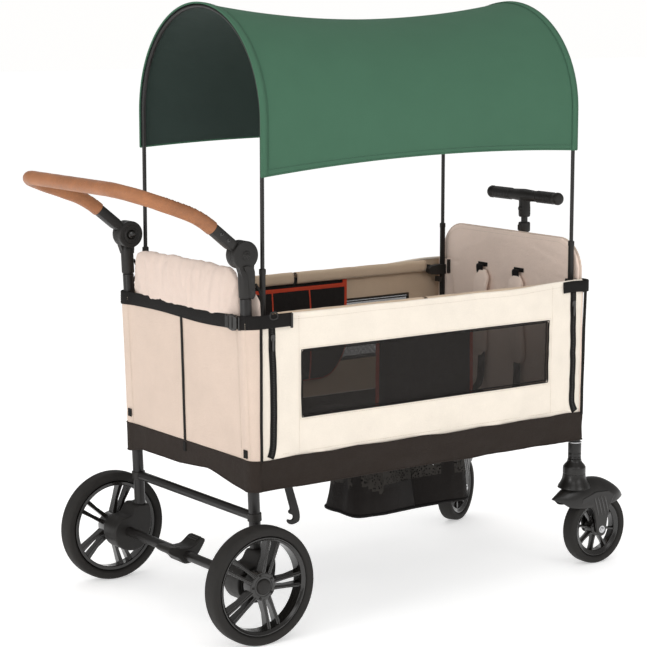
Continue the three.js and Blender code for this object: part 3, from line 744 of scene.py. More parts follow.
def twin_spokes(count, offset, hub, rim, width, face_hub, face_rim, deep):
    """Pairs of ridged spokes from hub to rim, with the outside of the wheel towards +Z."""
    shapes = []
    for i in range(count):
        for lean_sign in (-1, 1):
            turn = math.radians(360 / count * i)
            out = np.array([math.cos(turn), math.sin(turn)])
            side = (-math.sin(turn), math.cos(turn), 0)
            stations = [0.0, 0.12, 0.5, 0.9, 1.0]
            route, scales = [], []
            for s in stations:
                r = hub + (rim - hub) * s
                face = face_hub + (face_rim - face_hub) * s
                off = lean_sign * (offset + 5.5 * s)
                route.append((out[0] * r + side[0] * off, out[1] * r + side[1] * off, face))
                scales.append(1.0 - 0.22 * math.sin(math.pi * s))
            w = width / 2
            section = [(-w, -deep), (w, -deep), (w * 0.92, -2.2), (w * 0.35, -1.6), (w * 0.2, 0.6),
                       (-w * 0.2, 0.6), (-w * 0.35, -1.6), (-w * 0.92, -2.2)]
            shapes.append(sweep(route, section, across=side, scales=scales))
    return merged(*shapes)


def on_wheel(shape, centre, outward):
    """Places a shape made round +Z at a wheel, with +Z along outward."""
    turn = Vector((0, 0, 1)).rotation_difference(Vector(outward)).to_matrix().to_4x4()
    return moved(shape, Matrix.Translation(Vector(centre)) @ turn)


def rear_wheels():
    for name, side in SIDES:
        centre = (0, side * WHEEL_Y, WHEEL_R)
        outward = (0, side, 0)
        body = f"rear_wheel_{name}"
        tyre = on_wheel(turned(tyre_profile(WHEEL_R, 105.7, WHEEL_HALF), sides=128), centre, outward)
        add(f"rear_wheel_tyre_{name}", tyre, TYRE, body, [f"rear_tyre_{name}"])
        lip = [(105.6, 13), (105.9, 16.2), (104.8, 17.6), (102.8, 17.6), (101.6, 16), (100.2, 14.4),
               (98.6, 13.4), (97.2, 12),
               (96.4, 8), (95.6, -15), (97, -16.4), (104, -16.4), (105.6, -13), (105.6, 13)]
        rim = [
            turned(lip, sides=128),
            twin_spokes(5, 7.0, 27, 97.5, 10.5, 14.5, 11.5, 24),
            turned([(0, 14), (27, 14), (30.2, 13), (31, 11), (31, -16), (29, -18), (0, -18)], sides=64),
        ]
        wheel = add(f"rear_wheel_rim_{name}", on_wheel(merged(*rim), centre, outward), GLOSS, body,
                    [f"rear_rim_{name}"])
        rounded(wheel, 0.9, 2)
        cap = [(0, 22), (7, 21.9), (12, 21), (15.5, 19), (17, 16.5), (17.4, 13.5), (20.5, 13.2),
               (21.2, 14.6), (22, 14.6),
               (22.4, 12.5), (0, 12.5)]
        hub = [turned(cap, sides=64)]
        for i in range(5):
            turn = math.radians(72 * i + 36)
            spot = (25.6 * math.cos(turn), 25.6 * math.sin(turn), 14)
            hub.append(screw(spot, (0, 0, 1), 2.6, 2.2))
        add(f"rear_hub_cap_{name}", on_wheel(merged(*hub), centre, outward), PLASTIC, body)


def caster_place(side):
    """The caster's own frame, with the wheel trailing along +X, placed below its post."""
    turn = math.radians(LEFT_TURN) if side > 0 else 0.0
    return Matrix.Translation((CASTER_X, side * CASTER_Y, 0)) @ Matrix.Rotation(turn, 4, "Z")


def fender():
    """The hood over a caster wheel: a tall crown that runs into a point ahead and behind."""
    stations = [-68, -50, -30, 0, 30, 55, 85, 116, 138, 154]
    crown = [173, 182, 193, 204, 210, 211.5, 205, 189, 172, 154]
    foot = [170, 163, 150, 144, 142, 141, 142, 147, 152, 152]
    wide = [3, 13, 22, 28, 29, 28.5, 28, 25, 16, 3]
    top = curve_through([(x, w, z) for x, w, z in zip(stations, wide, crown)], 5)
    low = curve_through([(x, 0, z) for x, z in zip(stations, foot)], 5)

    def point(i, v):
        x, half, up = top[int(i)]
        a = abs(v) * math.pi / 2
        drop = max(0.5, up - low[int(i)][2])
        return x, half * math.copysign(math.sin(a) ** 0.85, v), up - drop * (1 - math.cos(a) ** 0.75)

    return grid(point, list(range(len(top))), spread(-1, 1, 1 / 14))


def fork_leg(side):
    """A tapering leg from the fender to the axle, rounded at its foot."""
    trail, z = CASTER_TRAIL, CASTER_R
    foot = arc((trail, z - 2), 15, 200, 340, 10)
    outline = [*foot, (trail + 19, z + 26), (trail + 27, z + 58), (trail + 42, z + 78), (trail + 20, z + 92),
               (trail - 20, z + 94), (trail - 62, z + 82), (trail - 66, z + 70), (trail - 40, z + 66),
               (trail - 24, z + 46),
               (trail - 19, z + 22)]
    inner, outer = sorted((side * 22.2, side * 28.6))
    return plate(outline, "xz", inner, outer)


def casters():
    for name, side in SIDES:
        place = caster_place(side)
        body = f"caster_{name}"
        housing = turned([(0, 262), (7.8, 262), (16, 262), (16.4, 260.5), (16.6, 258), (17.2, 256.5),
                          (18, 254.5), (24.5, 247),
                          (26.6, 243.5), (27, 240), (27, 228.6), (26.3, 227.8), (26.3, 226.8), (27, 226),
                          (27.6, 219),
                          (29.5, 212), (33, 205), (37, 199), (39, 193), (0, 193)], sides=72)
        stem = turned([(0, 294), (7.8, 294), (7.8, 260), (0, 260)], sides=32)
        hard = add(f"caster_housing_{name}", moved(merged(housing, stem), place), PLASTIC_DARK, body,
                   [f"caster_fork_{name}"])
        rounded(hard, 0.6, 2)
        cover = add(f"caster_fender_{name}", moved(fender(), place), PLASTIC_DARK, body,
                    sharp=1.2)
        cloth(cover, 3.0, 1, offset=-1)
        legs = merged(fork_leg(-1), fork_leg(1))
        rounded(add(f"caster_legs_{name}", moved(legs, place), PLASTIC_DARK, body), 2.2)
        louvres = []
        for leg in (-1, 1):
            for i in range(4):
                start = CASTER_TRAIL - 17 + i * 10.5
                y = leg * 28.9
                slot_route = [(start - 9 + 15 * s, y, CASTER_R + 82 - 38 * s - 9 * s * s)
                              for s in (0, 0.25, 0.5, 0.75, 1)]
                louvres.append(sweep(slot_route, flat_section(4.2, 1.4), across=(0.9, 0, 0.35),
                                     scales=[0.3, 0.9, 1, 0.9, 0.3]))
        add(f"caster_louvres_{name}", moved(merged(*louvres), place), GLOSS, body)
        bolts = []
        for leg in (-1, 1):
            spot = (CASTER_TRAIL, leg * 28.6, CASTER_R)
            bolts.append(turned([(0, 4.6), (3, 4.4), (5.4, 3), (6, 1), (6, -2), (0, -2)], spot, (0, leg, 0),
                                6))
            bolts.append(turned([(0, 1.2), (8.6, 1.2), (9, 0.6), (9, -1), (0, -1)], spot, (0, leg, 0), 32))
        bolts.append(tube([(CASTER_TRAIL, -28, CASTER_R), (CASTER_TRAIL, 28, CASTER_R)], 4.8, 20))
        add(f"caster_axle_bolt_{name}", moved(merged(*bolts), place), STEEL, body)
        caster_wheel(name, place)


def caster_wheel(name, place):
    centre = (CASTER_TRAIL, 0, CASTER_R)
    outward = (0, 1, 0)
    body = f"caster_wheel_{name}"
    tyre = on_wheel(turned(tyre_profile(CASTER_R, 67.7, CASTER_HALF), sides=96), centre, outward)
    add(f"caster_wheel_tyre_{name}", moved(tyre, place), TYRE, body, [f"caster_tyre_{name}"])
    lip = [(67.6, 11), (67.9, 13.4), (66.5, 14.6), (64, 14), (60, 11.5), (56.5, 10.5), (55.4, 8), (55, -8),
           (56.5, -10.5), (60, -11.5), (64, -14), (66.5, -14.6), (67.9, -13.4), (67.6, -11), (67.6, 11)]
    spokes = []
    for i in range(8):
        turn = math.radians(45 * i + 11)
        route = [(r * math.cos(turn), r * math.sin(turn), 0) for r in (15, 30, 45, 58)]
        section = [(-2.2, -8.5), (2.2, -8.5), (3.4, -3), (3.4, 3), (2.2, 8.5), (-2.2, 8.5), (-3.4, 3),
                   (-3.4, -3)]
        spokes.append(sweep(route, section, across=(-math.sin(turn), math.cos(turn), 0),
                            scales=[1.15, 0.95, 0.9, 1.1]))
    hub = turned([(0, 17), (9, 17), (15, 15.5), (18.5, 12), (19, 9), (19, -9), (18.5, -12), (15, -15.5),
                  (9, -17), (0, -17)], sides=48)
    shapes = merged(turned(lip, sides=96), hub, *spokes)
    wheel = add(f"caster_wheel_rim_{name}", moved(on_wheel(shapes, centre, outward), place), GLOSS, body,
                [f"caster_rim_{name}"])
    rounded(wheel, 0.8, 2)


# ---- front frame ----
def front_frame():
    for name, side in SIDES:
        y = side * CASTER_Y
        post = merged(
            post_tube(CASTER_X, 300, CASTER_X, 688, y),
            turned([(12.4, 301.5), (15.4, 301), (15.6, 299), (15.6, 279), (15.2, 278.4), (15.2, 277.4),
                    (15.6, 276.8),
                    (15.6, 270), (15.2, 269.4), (15.2, 268.4), (15.6, 267.8), (15.6, 263.4), (14.8, 262.4),
                    (8.2, 262.4),
                    (8.2, 300), (12.4, 301.5)],
                   (CASTER_X, y, 0), (0, 0, 1), 56),
        )
        add(f"front_post_tube_{name}", post, STEEL_BLACK, "front_frame", [f"front_post_{name}"])
        ring = turned([(15.5, 301), (16.3, 301.3), (16.5, 302.4), (16.2, 303.6), (12.7, 303.6), (12.7, 301),
                       (15.5, 301)],
                      (CASTER_X, y, 0), (0, 0, 1), 56)
        add(f"caster_ring_{name}", ring, STEEL, "front_frame")
        lugs = [
            block((CASTER_X - 5, y + side * 8, 398), (CASTER_X + 8, y + side * 17, 415)),
            screw((CASTER_X + 1.5, y + side * 17, 406), (0, side, 0), 4, 2),
            turned([(12.4, 344), (15, 345), (15, 367), (12.4, 368), (12.4, 344)], (CASTER_X, y, 0),
                   (0, 0, 1), 40),
            screw((CASTER_X + 2, y + side * 14.6, 356), (0.1, side, 0), 4.6, 2.6),
            turned([(0, 692), (10, 691.6), (12.6, 689.5), (12.9, 684), (0, 684)], (CASTER_X, y, 0),
                   (0, 0, 1), 40),
        ]
        rounded(add(f"front_post_fittings_{name}", merged(*lugs), PLASTIC, "front_frame"), 1, 2)


# ---- pull handle ----
def pull_handle():
    x, z0 = PULL[0], PULL[2]
    foot = merged(
        tube([(x, -13, z0), (x, 13, z0)], 12, 40),
        turned([(8.8, z0 + 6), (10.4, z0 + 7), (11, z0 + 9), (11, 799), (10.4, 800), (8.6, 800),
                (8.6, z0 + 6), (8.8, z0 + 6)],
               (x, 0, 0), (0, 0, 1), 48),
    )
    add("pull_outer_tube", foot, STEEL_BLACK, "pull_mast", ["pull_tube"])
    collar = turned([(11.1, 776), (13.8, 777), (14.5, 779), (14.5, 796), (13.5, 799.4), (11, 800),
                     (8.7, 800), (8.7, 797),
                     (11.1, 796), (11.1, 776)], (x, 0, 0), (0, 0, 1), 48)
    latch = block((x - 17.5, -5, 781), (x - 12, 5, 794))
    rounded(add("pull_collar", merged(collar, latch), PLASTIC, "pull_mast"), 0.8, 2)
    rod_top = extent("pull_rod")[1][2]
    add("pull_inner_rod", tube([(x, 0, 450), (x, 0, rod_top)], 8, 40), STEEL_BLACK, "pull_slider",
        ["pull_rod"])
    z = 865
    half = 128
    bar_profile = [(0, -half), (9, -half), (13, -half + 2), (15, -half + 6), (15, -half + 12),
                   (13.8, -half + 14),
                   (13.8, -70), (13.2, -40), (14.2, -22), (15.4, 0), (14.2, 22), (13.2, 40), (13.8, 70),
                   (13.8, half - 14), (15, half - 12), (15, half - 6), (13, half - 2), (9, half), (0, half)]
    stem = turned([(0, z - 52.4), (12, z - 52.4), (13.6, z - 51), (14.5, z - 46), (14.4, z - 30),
                   (13.6, z - 18), (15, z - 6),
                   (0, z)], (x, 0, 0), (0, 0, 1), 48)
    button = turned([(0, 16.5), (5, 16.3), (6.6, 15), (7, 13), (7, 8), (0, 8)], (x, 0, z - 32), (-1, 0, 0),
                    32)
    grip = merged(turned(bar_profile, (x, 0, z), (0, 1, 0), 56), stem, button)
    add("pull_tee_grip", grip, PLASTIC, "pull_slider", ["pull_grip"])
    ribs = [turned([(13.6, y - 1.2), (14.6, y - 0.8), (14.6, y + 0.8), (13.6, y + 1.2), (13.6, y - 1.2)],
                   (x, 0, z), (0, 1, 0), 48)
            for side in (-1, 1) for y in (side * s for s in range(50, 108, 6))]
    add("pull_grip_ribs", merged(*ribs), PLASTIC_DARK, "pull_slider")


# ---- push handle ----
def grip_route(steps=10):
    """The middle line of the leather bar, from the left joint round to the right one."""
    x0 = HANDLE[0] - (ARM_LENGTH + 0.3) * math.cos(ARM_RISE)
    z0 = HANDLE[2] + (ARM_LENGTH + 0.3) * math.sin(ARM_RISE)
    y = 235.5
    bar_x, bar_z = GRIP_BAR
    bend = [(1 - t) ** 2 * np.array([x0, y, z0]) + 2 * t * (1 - t) * np.array([-92, y, 895]) + t * t
            * np.array([-128, y, 909])
            for t in (i / steps for i in range(steps))]
    apex = np.array([bar_x, y, bar_z], float)
    run = apex - np.array([-128, y, 909])
    run /= np.linalg.norm(run)
    corner = 80
    start, end = apex - run * corner, apex - np.array([0, corner, 0])
    straight = [np.array([-128, y, 909]) + (start - np.array([-128, y, 909])) * i / 5 for i in range(5)]
    hold = 0.5523
    near, far = start + (apex - start) * hold, end + (apex - end) * hold
    curve = [(1 - t) ** 3 * start + 3 * t * (1 - t) ** 2 * near + 3 * t * t * (1 - t) * far + t**3 * end
             for t in (i / (2 * steps) for i in range(2 * steps))]
    half = [*bend, *straight, *curve]
    middle = [end + np.array([0, -2 * end[1], 0]) * i / 12 for i in range(12)]
    back = [p * np.array([1, -1, 1]) for p in reversed(half)]
    other = end * np.array([1, -1, 1])
    return [tuple(p) for p in [*half, *middle, other, *back]]


def push_handle():
    route = grip_route()
    lengths = np.cumsum([0.0] + [math.dist(a, b) for a, b in zip(route, route[1:])])
    total = lengths[-1]
    # the leather is drawn a little tighter over the hand hold, with a folded rim at both ends
    scales = []
    for s in lengths:
        edge = min(s, total - s)
        scales.append(1.0 + 0.035 * math.exp(-((edge - 4) / 5) ** 2) - 0.012 * math.cos(s / 9.0)
                      * (edge > 12))
    add("leather_wrap", tube(route, GRIP_R - 0.4, 40, scales=scales), LEATHER, "push_handle",
        ["handle_grip", "handle_tube"])
    # laced seam along the underside of the bar
    lace = []
    spots = [Vector(p) for p in route]
    rows = np.array(route)
    for k, s in enumerate(np.arange(12, total - 12, 7.0)):
        here = Vector([np.interp(s, lengths, rows[:, i]) for i in range(3)])
        ahead = Vector([np.interp(s + 3, lengths, rows[:, i]) for i in range(3)])
        run = (ahead - here).normalized()
        inward = Vector((1, 0, 0)) - run * run.x
        inward = inward.normalized() if inward.length > 0.3 else Vector((0, -math.copysign(1, here.y), 0))
        down = Vector((0, 0, -1)) - run * -run.z
        out = (inward * 0.75 + down.normalized() * 0.66).normalized()
        across = run.cross(out)
        start = here + out * (GRIP_R - 0.3)
        slant = -1 if k % 2 else 1
        lace.append(tube([tuple(start - across * 3.4 - run * 2.6 * slant - out * 0.9),
                          tuple(start + out * 0.4),
                          tuple(start + across * 3.4 + run * 2.6 * slant - out * 0.9)], 0.75, 6))
    add("leather_lacing", merged(*lace), LEATHER_THREAD, "push_handle")
    for name, side in SIDES:
        handle_joint(name, side)


def handle_joint(name, side):
    """A post-side disc with a stepped cap, and an arm-side disc that runs into the arm."""
    x, _, z = HANDLE
    outward = (0, side, 0)
    joint = (x, 0, z)
    outer = turned([(0, 253), (10.5, 253), (10.5, 252), (27, 252), (29.2, 251.2), (30, 249.5), (30, 242.6),
                    (29.2, 242),
                    (29.2, 241), (30, 240.4), (30, 236.8), (29, 235.9), (0, 235.9)], joint, outward, 80)
    cap = turned([(0, 257.6), (3.6, 257.4), (5, 256), (5.2, 254.8), (8, 254.6), (9.3, 253.6), (9.6, 251),
                  (0, 251)],
                 joint, outward, 48)
    low, top = POST_TOP + 1, 779
    sleeve_x = post_x(low)
    y0, y1 = sorted((side * 226.4, side * 255.6))
    sleeve_route = [(post_x(h), side * 241, h) for h in (low, low + 3, top - 4, top, top + 9)]
    sleeve = tube(sleeve_route, 14.2, 40, scales=[0.93, 1, 1, 0.96, 0.7])
    web_low, web_high = sorted((side * 246, side * 256))
    web = plate(smooth_outline([(sleeve_x + 2, low + 2), (sleeve_x + 14.6, low + 3), (sleeve_x + 14.4, 750),
                                (x + 16, 786),
                                (x - 8, 790), (sleeve_x - 3, 770)], 4), "xz", web_low, web_high)
    neck = plate([(sleeve_x - 13.6, 768), (sleeve_x + 14, 768), (x + 20, 796), (x - 20, 796)], "xz",
                 *sorted((side * 236.4, side * 251.5)))
    bracket = add(f"handle_socket_{name}", merged(outer, cap, sleeve, web, neck), PLASTIC, "rear_frame",
                  [f"handle_bracket_{name}"])
    rounded(bracket, 0.9, 2)
    pockets = [block((sleeve_x + 4.5, side * 255.5, h), (sleeve_x + 11.5, side * 256.6, h + 9))
               for h in (731, 757)]
    rounded(add(f"handle_socket_slots_{name}", merged(*pockets), PLASTIC_DARK, "rear_frame"), 0.5, 2)
    inner = turned([(0, 235.1), (29, 235.1), (30, 234.2), (30, 230.6), (29.2, 230), (29.2, 229),
                    (30, 228.4), (30, 219.5),
                    (28.6, 217.4), (21, 217), (20.2, 218.2), (15.5, 218.2), (14.6, 217), (11.4, 217),
                    (10, 218.4), (9.6, 222),
                    (0, 222)], joint, outward, 80)
    along = Vector((-math.cos(ARM_RISE), 0, math.sin(ARM_RISE)))
    arm_route = [tuple(Vector(joint) + along * s + Vector((0, side * y, 0)))
                 for s, y in ((8, 227.2), (24, 228), (33, 233), (42, 235.3), (ARM_LENGTH - 4, 235.4),
                              (ARM_LENGTH, 235.4))]
    w, h = 15.8, 12.6
    section = [(a * w, b * h) for a, b in ((-1, -0.45), (-0.82, -0.85), (-0.4, -1), (0.4, -1),
                                           (0.82, -0.85), (1, -0.45),
                                          (1, 0.45), (0.82, 0.85), (0.4, 1), (-0.4, 1), (-0.82, 0.85),
                                           (-1, 0.45))]
    arm = sweep(arm_route, section, across=(0, 1, 0), scales=[0.52, 0.56, 0.9, 1, 1, 0.96])
    add_arm = add(f"handle_joint_arm_{name}", merged(inner, arm), PLASTIC, "push_handle",
                  [f"handle_arm_{name}"])
    rounded(add_arm, 0.9, 2)
    screws = []
    for s in (55, 77):
        spot = Vector(joint) + along * s + Vector((0, side * 250.6, 0))
        screws.append(turned([(6.2, -0.5), (6.2, 0.5), (4.9, 0.5), (4.9, -0.5), (6.2, -0.5)], tuple(spot),
                             outward, 28))
        screws.append(screw(tuple(spot), outward, 4.2, 2.4))
    add(f"handle_arm_screws_{name}", merged(*screws), GLOSS, "push_handle")
    face = 213
    push = turned([(0, face), (6, face + 0.2), (8.2, face + 1.2), (9, face + 3), (9, face + 5.8),
                   (0, face + 5.8)],
                  joint, outward, 48)
    add(f"handle_push_button_{name}", push, GLOSS, f"button_{name}", [f"handle_button_{name}"])


# ---- brake pedal and fold catch ----
def brake_pedal():
    z = WHEEL_R
    outline = smooth_outline([(-51, z + 15), (-46, z + 23), (-30, z + 21.5), (-14, z + 17.5), (0, z + 16.5),
                              (14, z + 19), (30, z + 31),
                              (38, z + 34), (44, z + 29), (36, z + 14), (24, z - 2), (12, z - 15),
                              (0, z - 17.5), (-12, z - 15.5),
                              (-24, z - 3), (-40, z + 6)], 4)
    pedal = add("brake_rocker", plate(outline, "xz", -27, 27), PLASTIC, "brake", ["brake_pedal"])
    rounded(pedal, 3.2, 4)
    treads = []
    for i in range(5):
        x = -44 + i * 6.2
        treads.append(tube([(x, -20, z + 22.4 - i * 0.9), (x, 20, z + 22.4 - i * 0.9)], 1.5, 10))
    for i in range(3):
        x = 26 + i * 5.4
        treads.append(tube([(x, -19, z + 29.5 + i * 2.6), (x, 19, z + 29.5 + i * 2.6)], 1.5, 10))
    add("brake_treads", merged(*treads), PLASTIC_DARK, "brake")


def fold_catch():
    x, y, pivot_z = HOOK
    outline = [(-6, 4), (0, 8), (7, 3), (12, -20), (28, -70), (34, -92), (34, -106), (29, -112), (15, -115),
               (6, -112), (2, -106),
               (4, -102), (9, -104), (15, -104), (18, -100), (16, -94), (8, -90), (6, -84), (10, -79),
               (4, -58), (-6, -20)]
    outline = smooth_outline([(x + a, pivot_z + b) for a, b in outline], 3)
    hook = add("fold_catch", plate(outline, "xz", y - 3, y + 3), PLASTIC, "hook", ["fold_hook"])
    rounded(hook, 1.2)
    pin = turned([(0, 4.6), (4.6, 4.2), (6, 3.2), (6, -3.2), (4.6, -4.2), (0, -4.6)], (x, y, pivot_z),
                 (0, 1, 0), 28)
    add("fold_catch_pin", pin, STEEL, "hook")


# ---- canopy poles ----
def canopy_bow(x):
    top = [(x, POLE_Y * math.cos(math.pi * i / 48), SPRING_Z + POLE_Y * math.sin(math.pi * i / 48))
           for i in range(49)]
    legs = [(x, POLE_Y, 640), (x, POLE_Y, 760), (x, POLE_Y, 900)]
    return tube([*legs, *top, *[(px, -py, pz) for px, py, pz in reversed(legs)]], POLE_R, 20)


def pole_sockets():
    for name, side in SIDES:
        y = side * POLE_Y
        for end, x, pin_x, body in (("rear", POLE_REAR, FOLD_REAR, "rear_frame"),
                                    ("front", POLE_FRONT, FOLD_FRONT, "front_frame")):
            socket = turned([(5.4, 780), (6.2, 780.4), (7.4, 779), (7.4, 770), (6.6, 768), (6.6, 474),
                             (6, 471), (0, 470.4), (0, 474),
                             (5.4, 474), (5.4, 780)], (x, y, 0), (0, 0, 1), 28)
            toward = 1 if end == "rear" else -1
            clamp_x = sorted((x - toward * 32, pin_x + toward * 5))
            clamp = plate(smooth_outline([(clamp_x[0], 654), (clamp_x[1], 655), (clamp_x[1], 674),
                                          (clamp_x[0], 675)], 3), "xz",
                          *sorted((side * 229, side * 244.6)))
            pin = tube([(pin_x, side * 243, RAIL_Z), (pin_x, side * 258, RAIL_Z)], 3.5, 20)
            made = add(f"pole_socket_{end}_{name}", merged(socket, clamp, pin), PLASTIC, body,
                       [f"canopy_socket_{end}_{name}"])
            rounded(made, 0.7, 2)
    add("canopy_hoop_rear", canopy_bow(POLE_REAR), STEEL_BLACK, "canopy_rear", ["canopy_bow_rear"])
    add("canopy_hoop_front", canopy_bow(POLE_FRONT), STEEL_BLACK, "canopy_front", ["canopy_bow_front"])


rear_frame()
rear_wheels()
casters()
front_frame()
pull_handle()
push_handle()
brake_pedal()
fold_catch()
pole_sockets()


# ---- padded pieces ----
def settle(piece):
    """Applies a piece's modifiers to its mesh."""
    graph = bpy.context.evaluated_depsgraph_get()
    graph.update()
    mesh = bpy.data.meshes.new_from_object(piece.evaluated_get(graph))
    old = piece.data
    piece.modifiers.clear()
    piece.data = mesh
    bpy.data.meshes.remove(old)
    piece.data.shade_smooth()


PUFF_FRAMES = 20


def puff(piece, cap, voxel=5.0, pressure=4.0, held=None):
    """Swells a closed pad by cloth simulation, by cap at most. held(x, y, z) keeps points near a seam."""
    remesh = piece.modifiers.new("remesh", "REMESH")
    remesh.mode = "VOXEL"
    remesh.voxel_size = voxel * MM
    settle(piece)
    count = len(piece.data.vertices)
    before = np.zeros(count * 3)
    piece.data.vertices.foreach_get("co", before)
    before = before.reshape(-1, 3)
    group = piece.vertex_groups.new(name="held")
    if held is not None:
        group.add([i for i, p in enumerate(before) if held((p[0] - AXLE_X) / MM, p[1] / MM, p[2] / MM)],
                  1.0, "REPLACE")
    sim = piece.modifiers.new("cloth", "CLOTH")
    sim.settings.use_pressure = True
    sim.settings.uniform_pressure_force = pressure
    sim.settings.effector_weights.gravity = 0
    sim.settings.vertex_group_mass = "held"
    sim.settings.quality = 5
    sim.point_cache.frame_start = 1
    sim.point_cache.frame_end = PUFF_FRAMES
    scene = bpy.context.scene
    for step in range(1, PUFF_FRAMES + 1):
        scene.frame_set(step)
    settle(piece)
    after = np.zeros(count * 3)
    piece.data.vertices.foreach_get("co", after)
    shift = after.reshape(-1, 3) - before
    far = np.linalg.norm(shift, axis=1, keepdims=True)
    shift *= np.minimum(1.0, cap * MM / np.maximum(far, 1e-9))
    piece.data.vertices.foreach_set("co", (before + shift).ravel())
    scene.frame_set(1)
    return piece


def crease(piece, depth):
    """Pushes each point along its normal by depth(x, y, z) millimetres."""
    mesh = piece.data
    normals = [v.normal.copy() for v in mesh.vertices]
    for vertex, normal in zip(mesh.vertices, normals):
        x, y, z = (vertex.co.x - AXLE_X) / MM, vertex.co.y / MM, vertex.co.z / MM
        vertex.co += normal * (depth(x, y, z) * MM)
    mesh.update()
    return piece


def place_pad(pad, body, node=None):
    smooth = pad.modifiers.new("fine", "SUBSURF")
    smooth.levels = 1
    smooth.render_levels = 1
    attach(pad, body)
    if node:
        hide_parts(node)


def loft(points, around):
    """Rings of points, one after another, as a closed skin."""
    count = len(points) // around
    faces = [[i * around + k, i * around + (k + 1) % around, (i + 1) * around + (k + 1) % around,
              (i + 1) * around + k]
             for i in range(count - 1) for k in range(around)]
    return points, [*faces, list(range(around))[::-1], [(count - 1) * around + k for k in range(around)]]


def headrest():
    """The gathered pad across the rear: its foot is flat behind the strap and its top is round."""
    low, top, half, corner = 652, 788, 214, 46

    def height(y):
        over = max(0.0, abs(y) - (half - corner))
        return top - 6 * (y / half) ** 2 - corner + math.sqrt(max(0.0,
            corner**2 - over**2)) + 1.5 * ripple(y, 0, 0, 45, 6)

    def point(y, t):
        # t turns round the section, from the inner foot over the top to the outer foot
        rise = height(y) - low
        end = max(0.08, 1 - (abs(y) / (half + 1)) ** 14) ** 0.5
        c, s = math.cos(t), math.sin(t)
        up = low + rise * (0.5 + 0.5 * math.copysign(abs(s) ** (0.5 if s > 0 else 0.14), s))
        share = (up - low) / rise
        belly = 12.5 + 5 * math.sin(math.pi * min(1, share * 1.1)) - 5 * (1 - share)
        return 20 + LEAN * (up - STRAP_Z) + belly * end * math.copysign(abs(c) ** 0.6, c), y, up

    around = 44
    ys = [half * math.copysign(1 - (1 - abs(s)) ** 1.6, s) for s in spread(-1, 1, 1 / 36)]
    points = [point(y, 2 * math.pi * k / around) for y in ys for k in range(around)]
    pad = add("headrest_pad", loft(points, around), BLUSH_PAD)
    puff(pad, 4.5, 4.5, 3.0, held=lambda x, y, z: z < low + 24)

    def folds(x, y, z):
        gather = min(1.0, max(0.0, (z - low - 10) / 60)) * (1 - 0.75 * min(1.0,
            max(0.0, z - low) / (top - low)) ** 8)
        fan = y * (1.12 - 0.2 * (z - low) / (top - low))
        return (4.4 * ripple(fan, 0, z * 0.12, 22, 3) + 3.6 * ripple(fan, 2, z * 0.16, 11, 4)) * gather

    crease(pad, folds)
    place_pad(pad, "rear_frame", "rear_headrest")
    for name, side in SIDES:
        def wing(u, v):
            # u runs outwards from the pad's end, v up
            y = side * (205 + 49 * u)
            z = 664 + (96 - 46 * u**2) * v
            return 26 + 17 * u**1.3 + 1.6 * ripple(0, y, z, 24, 5) + LEAN * 40 * v, y, z

        flap = add(f"headrest_wing_{name}", grid(wing, spread(0, 1, 0.1), spread(0, 1, 0.1)), BLUSH_PAD,
                   "rear_frame")
        cloth(flap, 2.2)


# ---- tub walls ----
def wall_top(x):
    """The top edge of a side wall rises a little towards the front."""
    t = min(1.0, max(0.0, (x - 700) / 200))
    return TUB_TOP + 7 * t * t * (3 - 2 * t) + 1.6 * ripple(x, 0, 0, 120, 6)


def wall_out(x, z, side):
    """How far a side wall stands off the middle plane, with soft folds that are stronger near its foot."""
    foot = max(0.0, 1 - (z - SEAM_Z) / 60)
    ends = 1 + 2.2 * math.exp(-((x - 868) / 26) ** 2) + 1.2 * math.exp(-((x - 105) / 24) ** 2)
    fold = 1.8 * ripple(x, side * 9, z, 170, 1) + 1.1 * ends * ripple(x * 0.6, side * 5, z * 1.6, 42, 2)
    fold += foot * 3.0 * ripple(x, side, z * 2.5, 38, 8)
    return side * (TUB_SIDE - 2.5 + fold)


def on_wall(x, z, side, proud=0.0):
    return x, wall_out(x, z, side) + side * proud, z


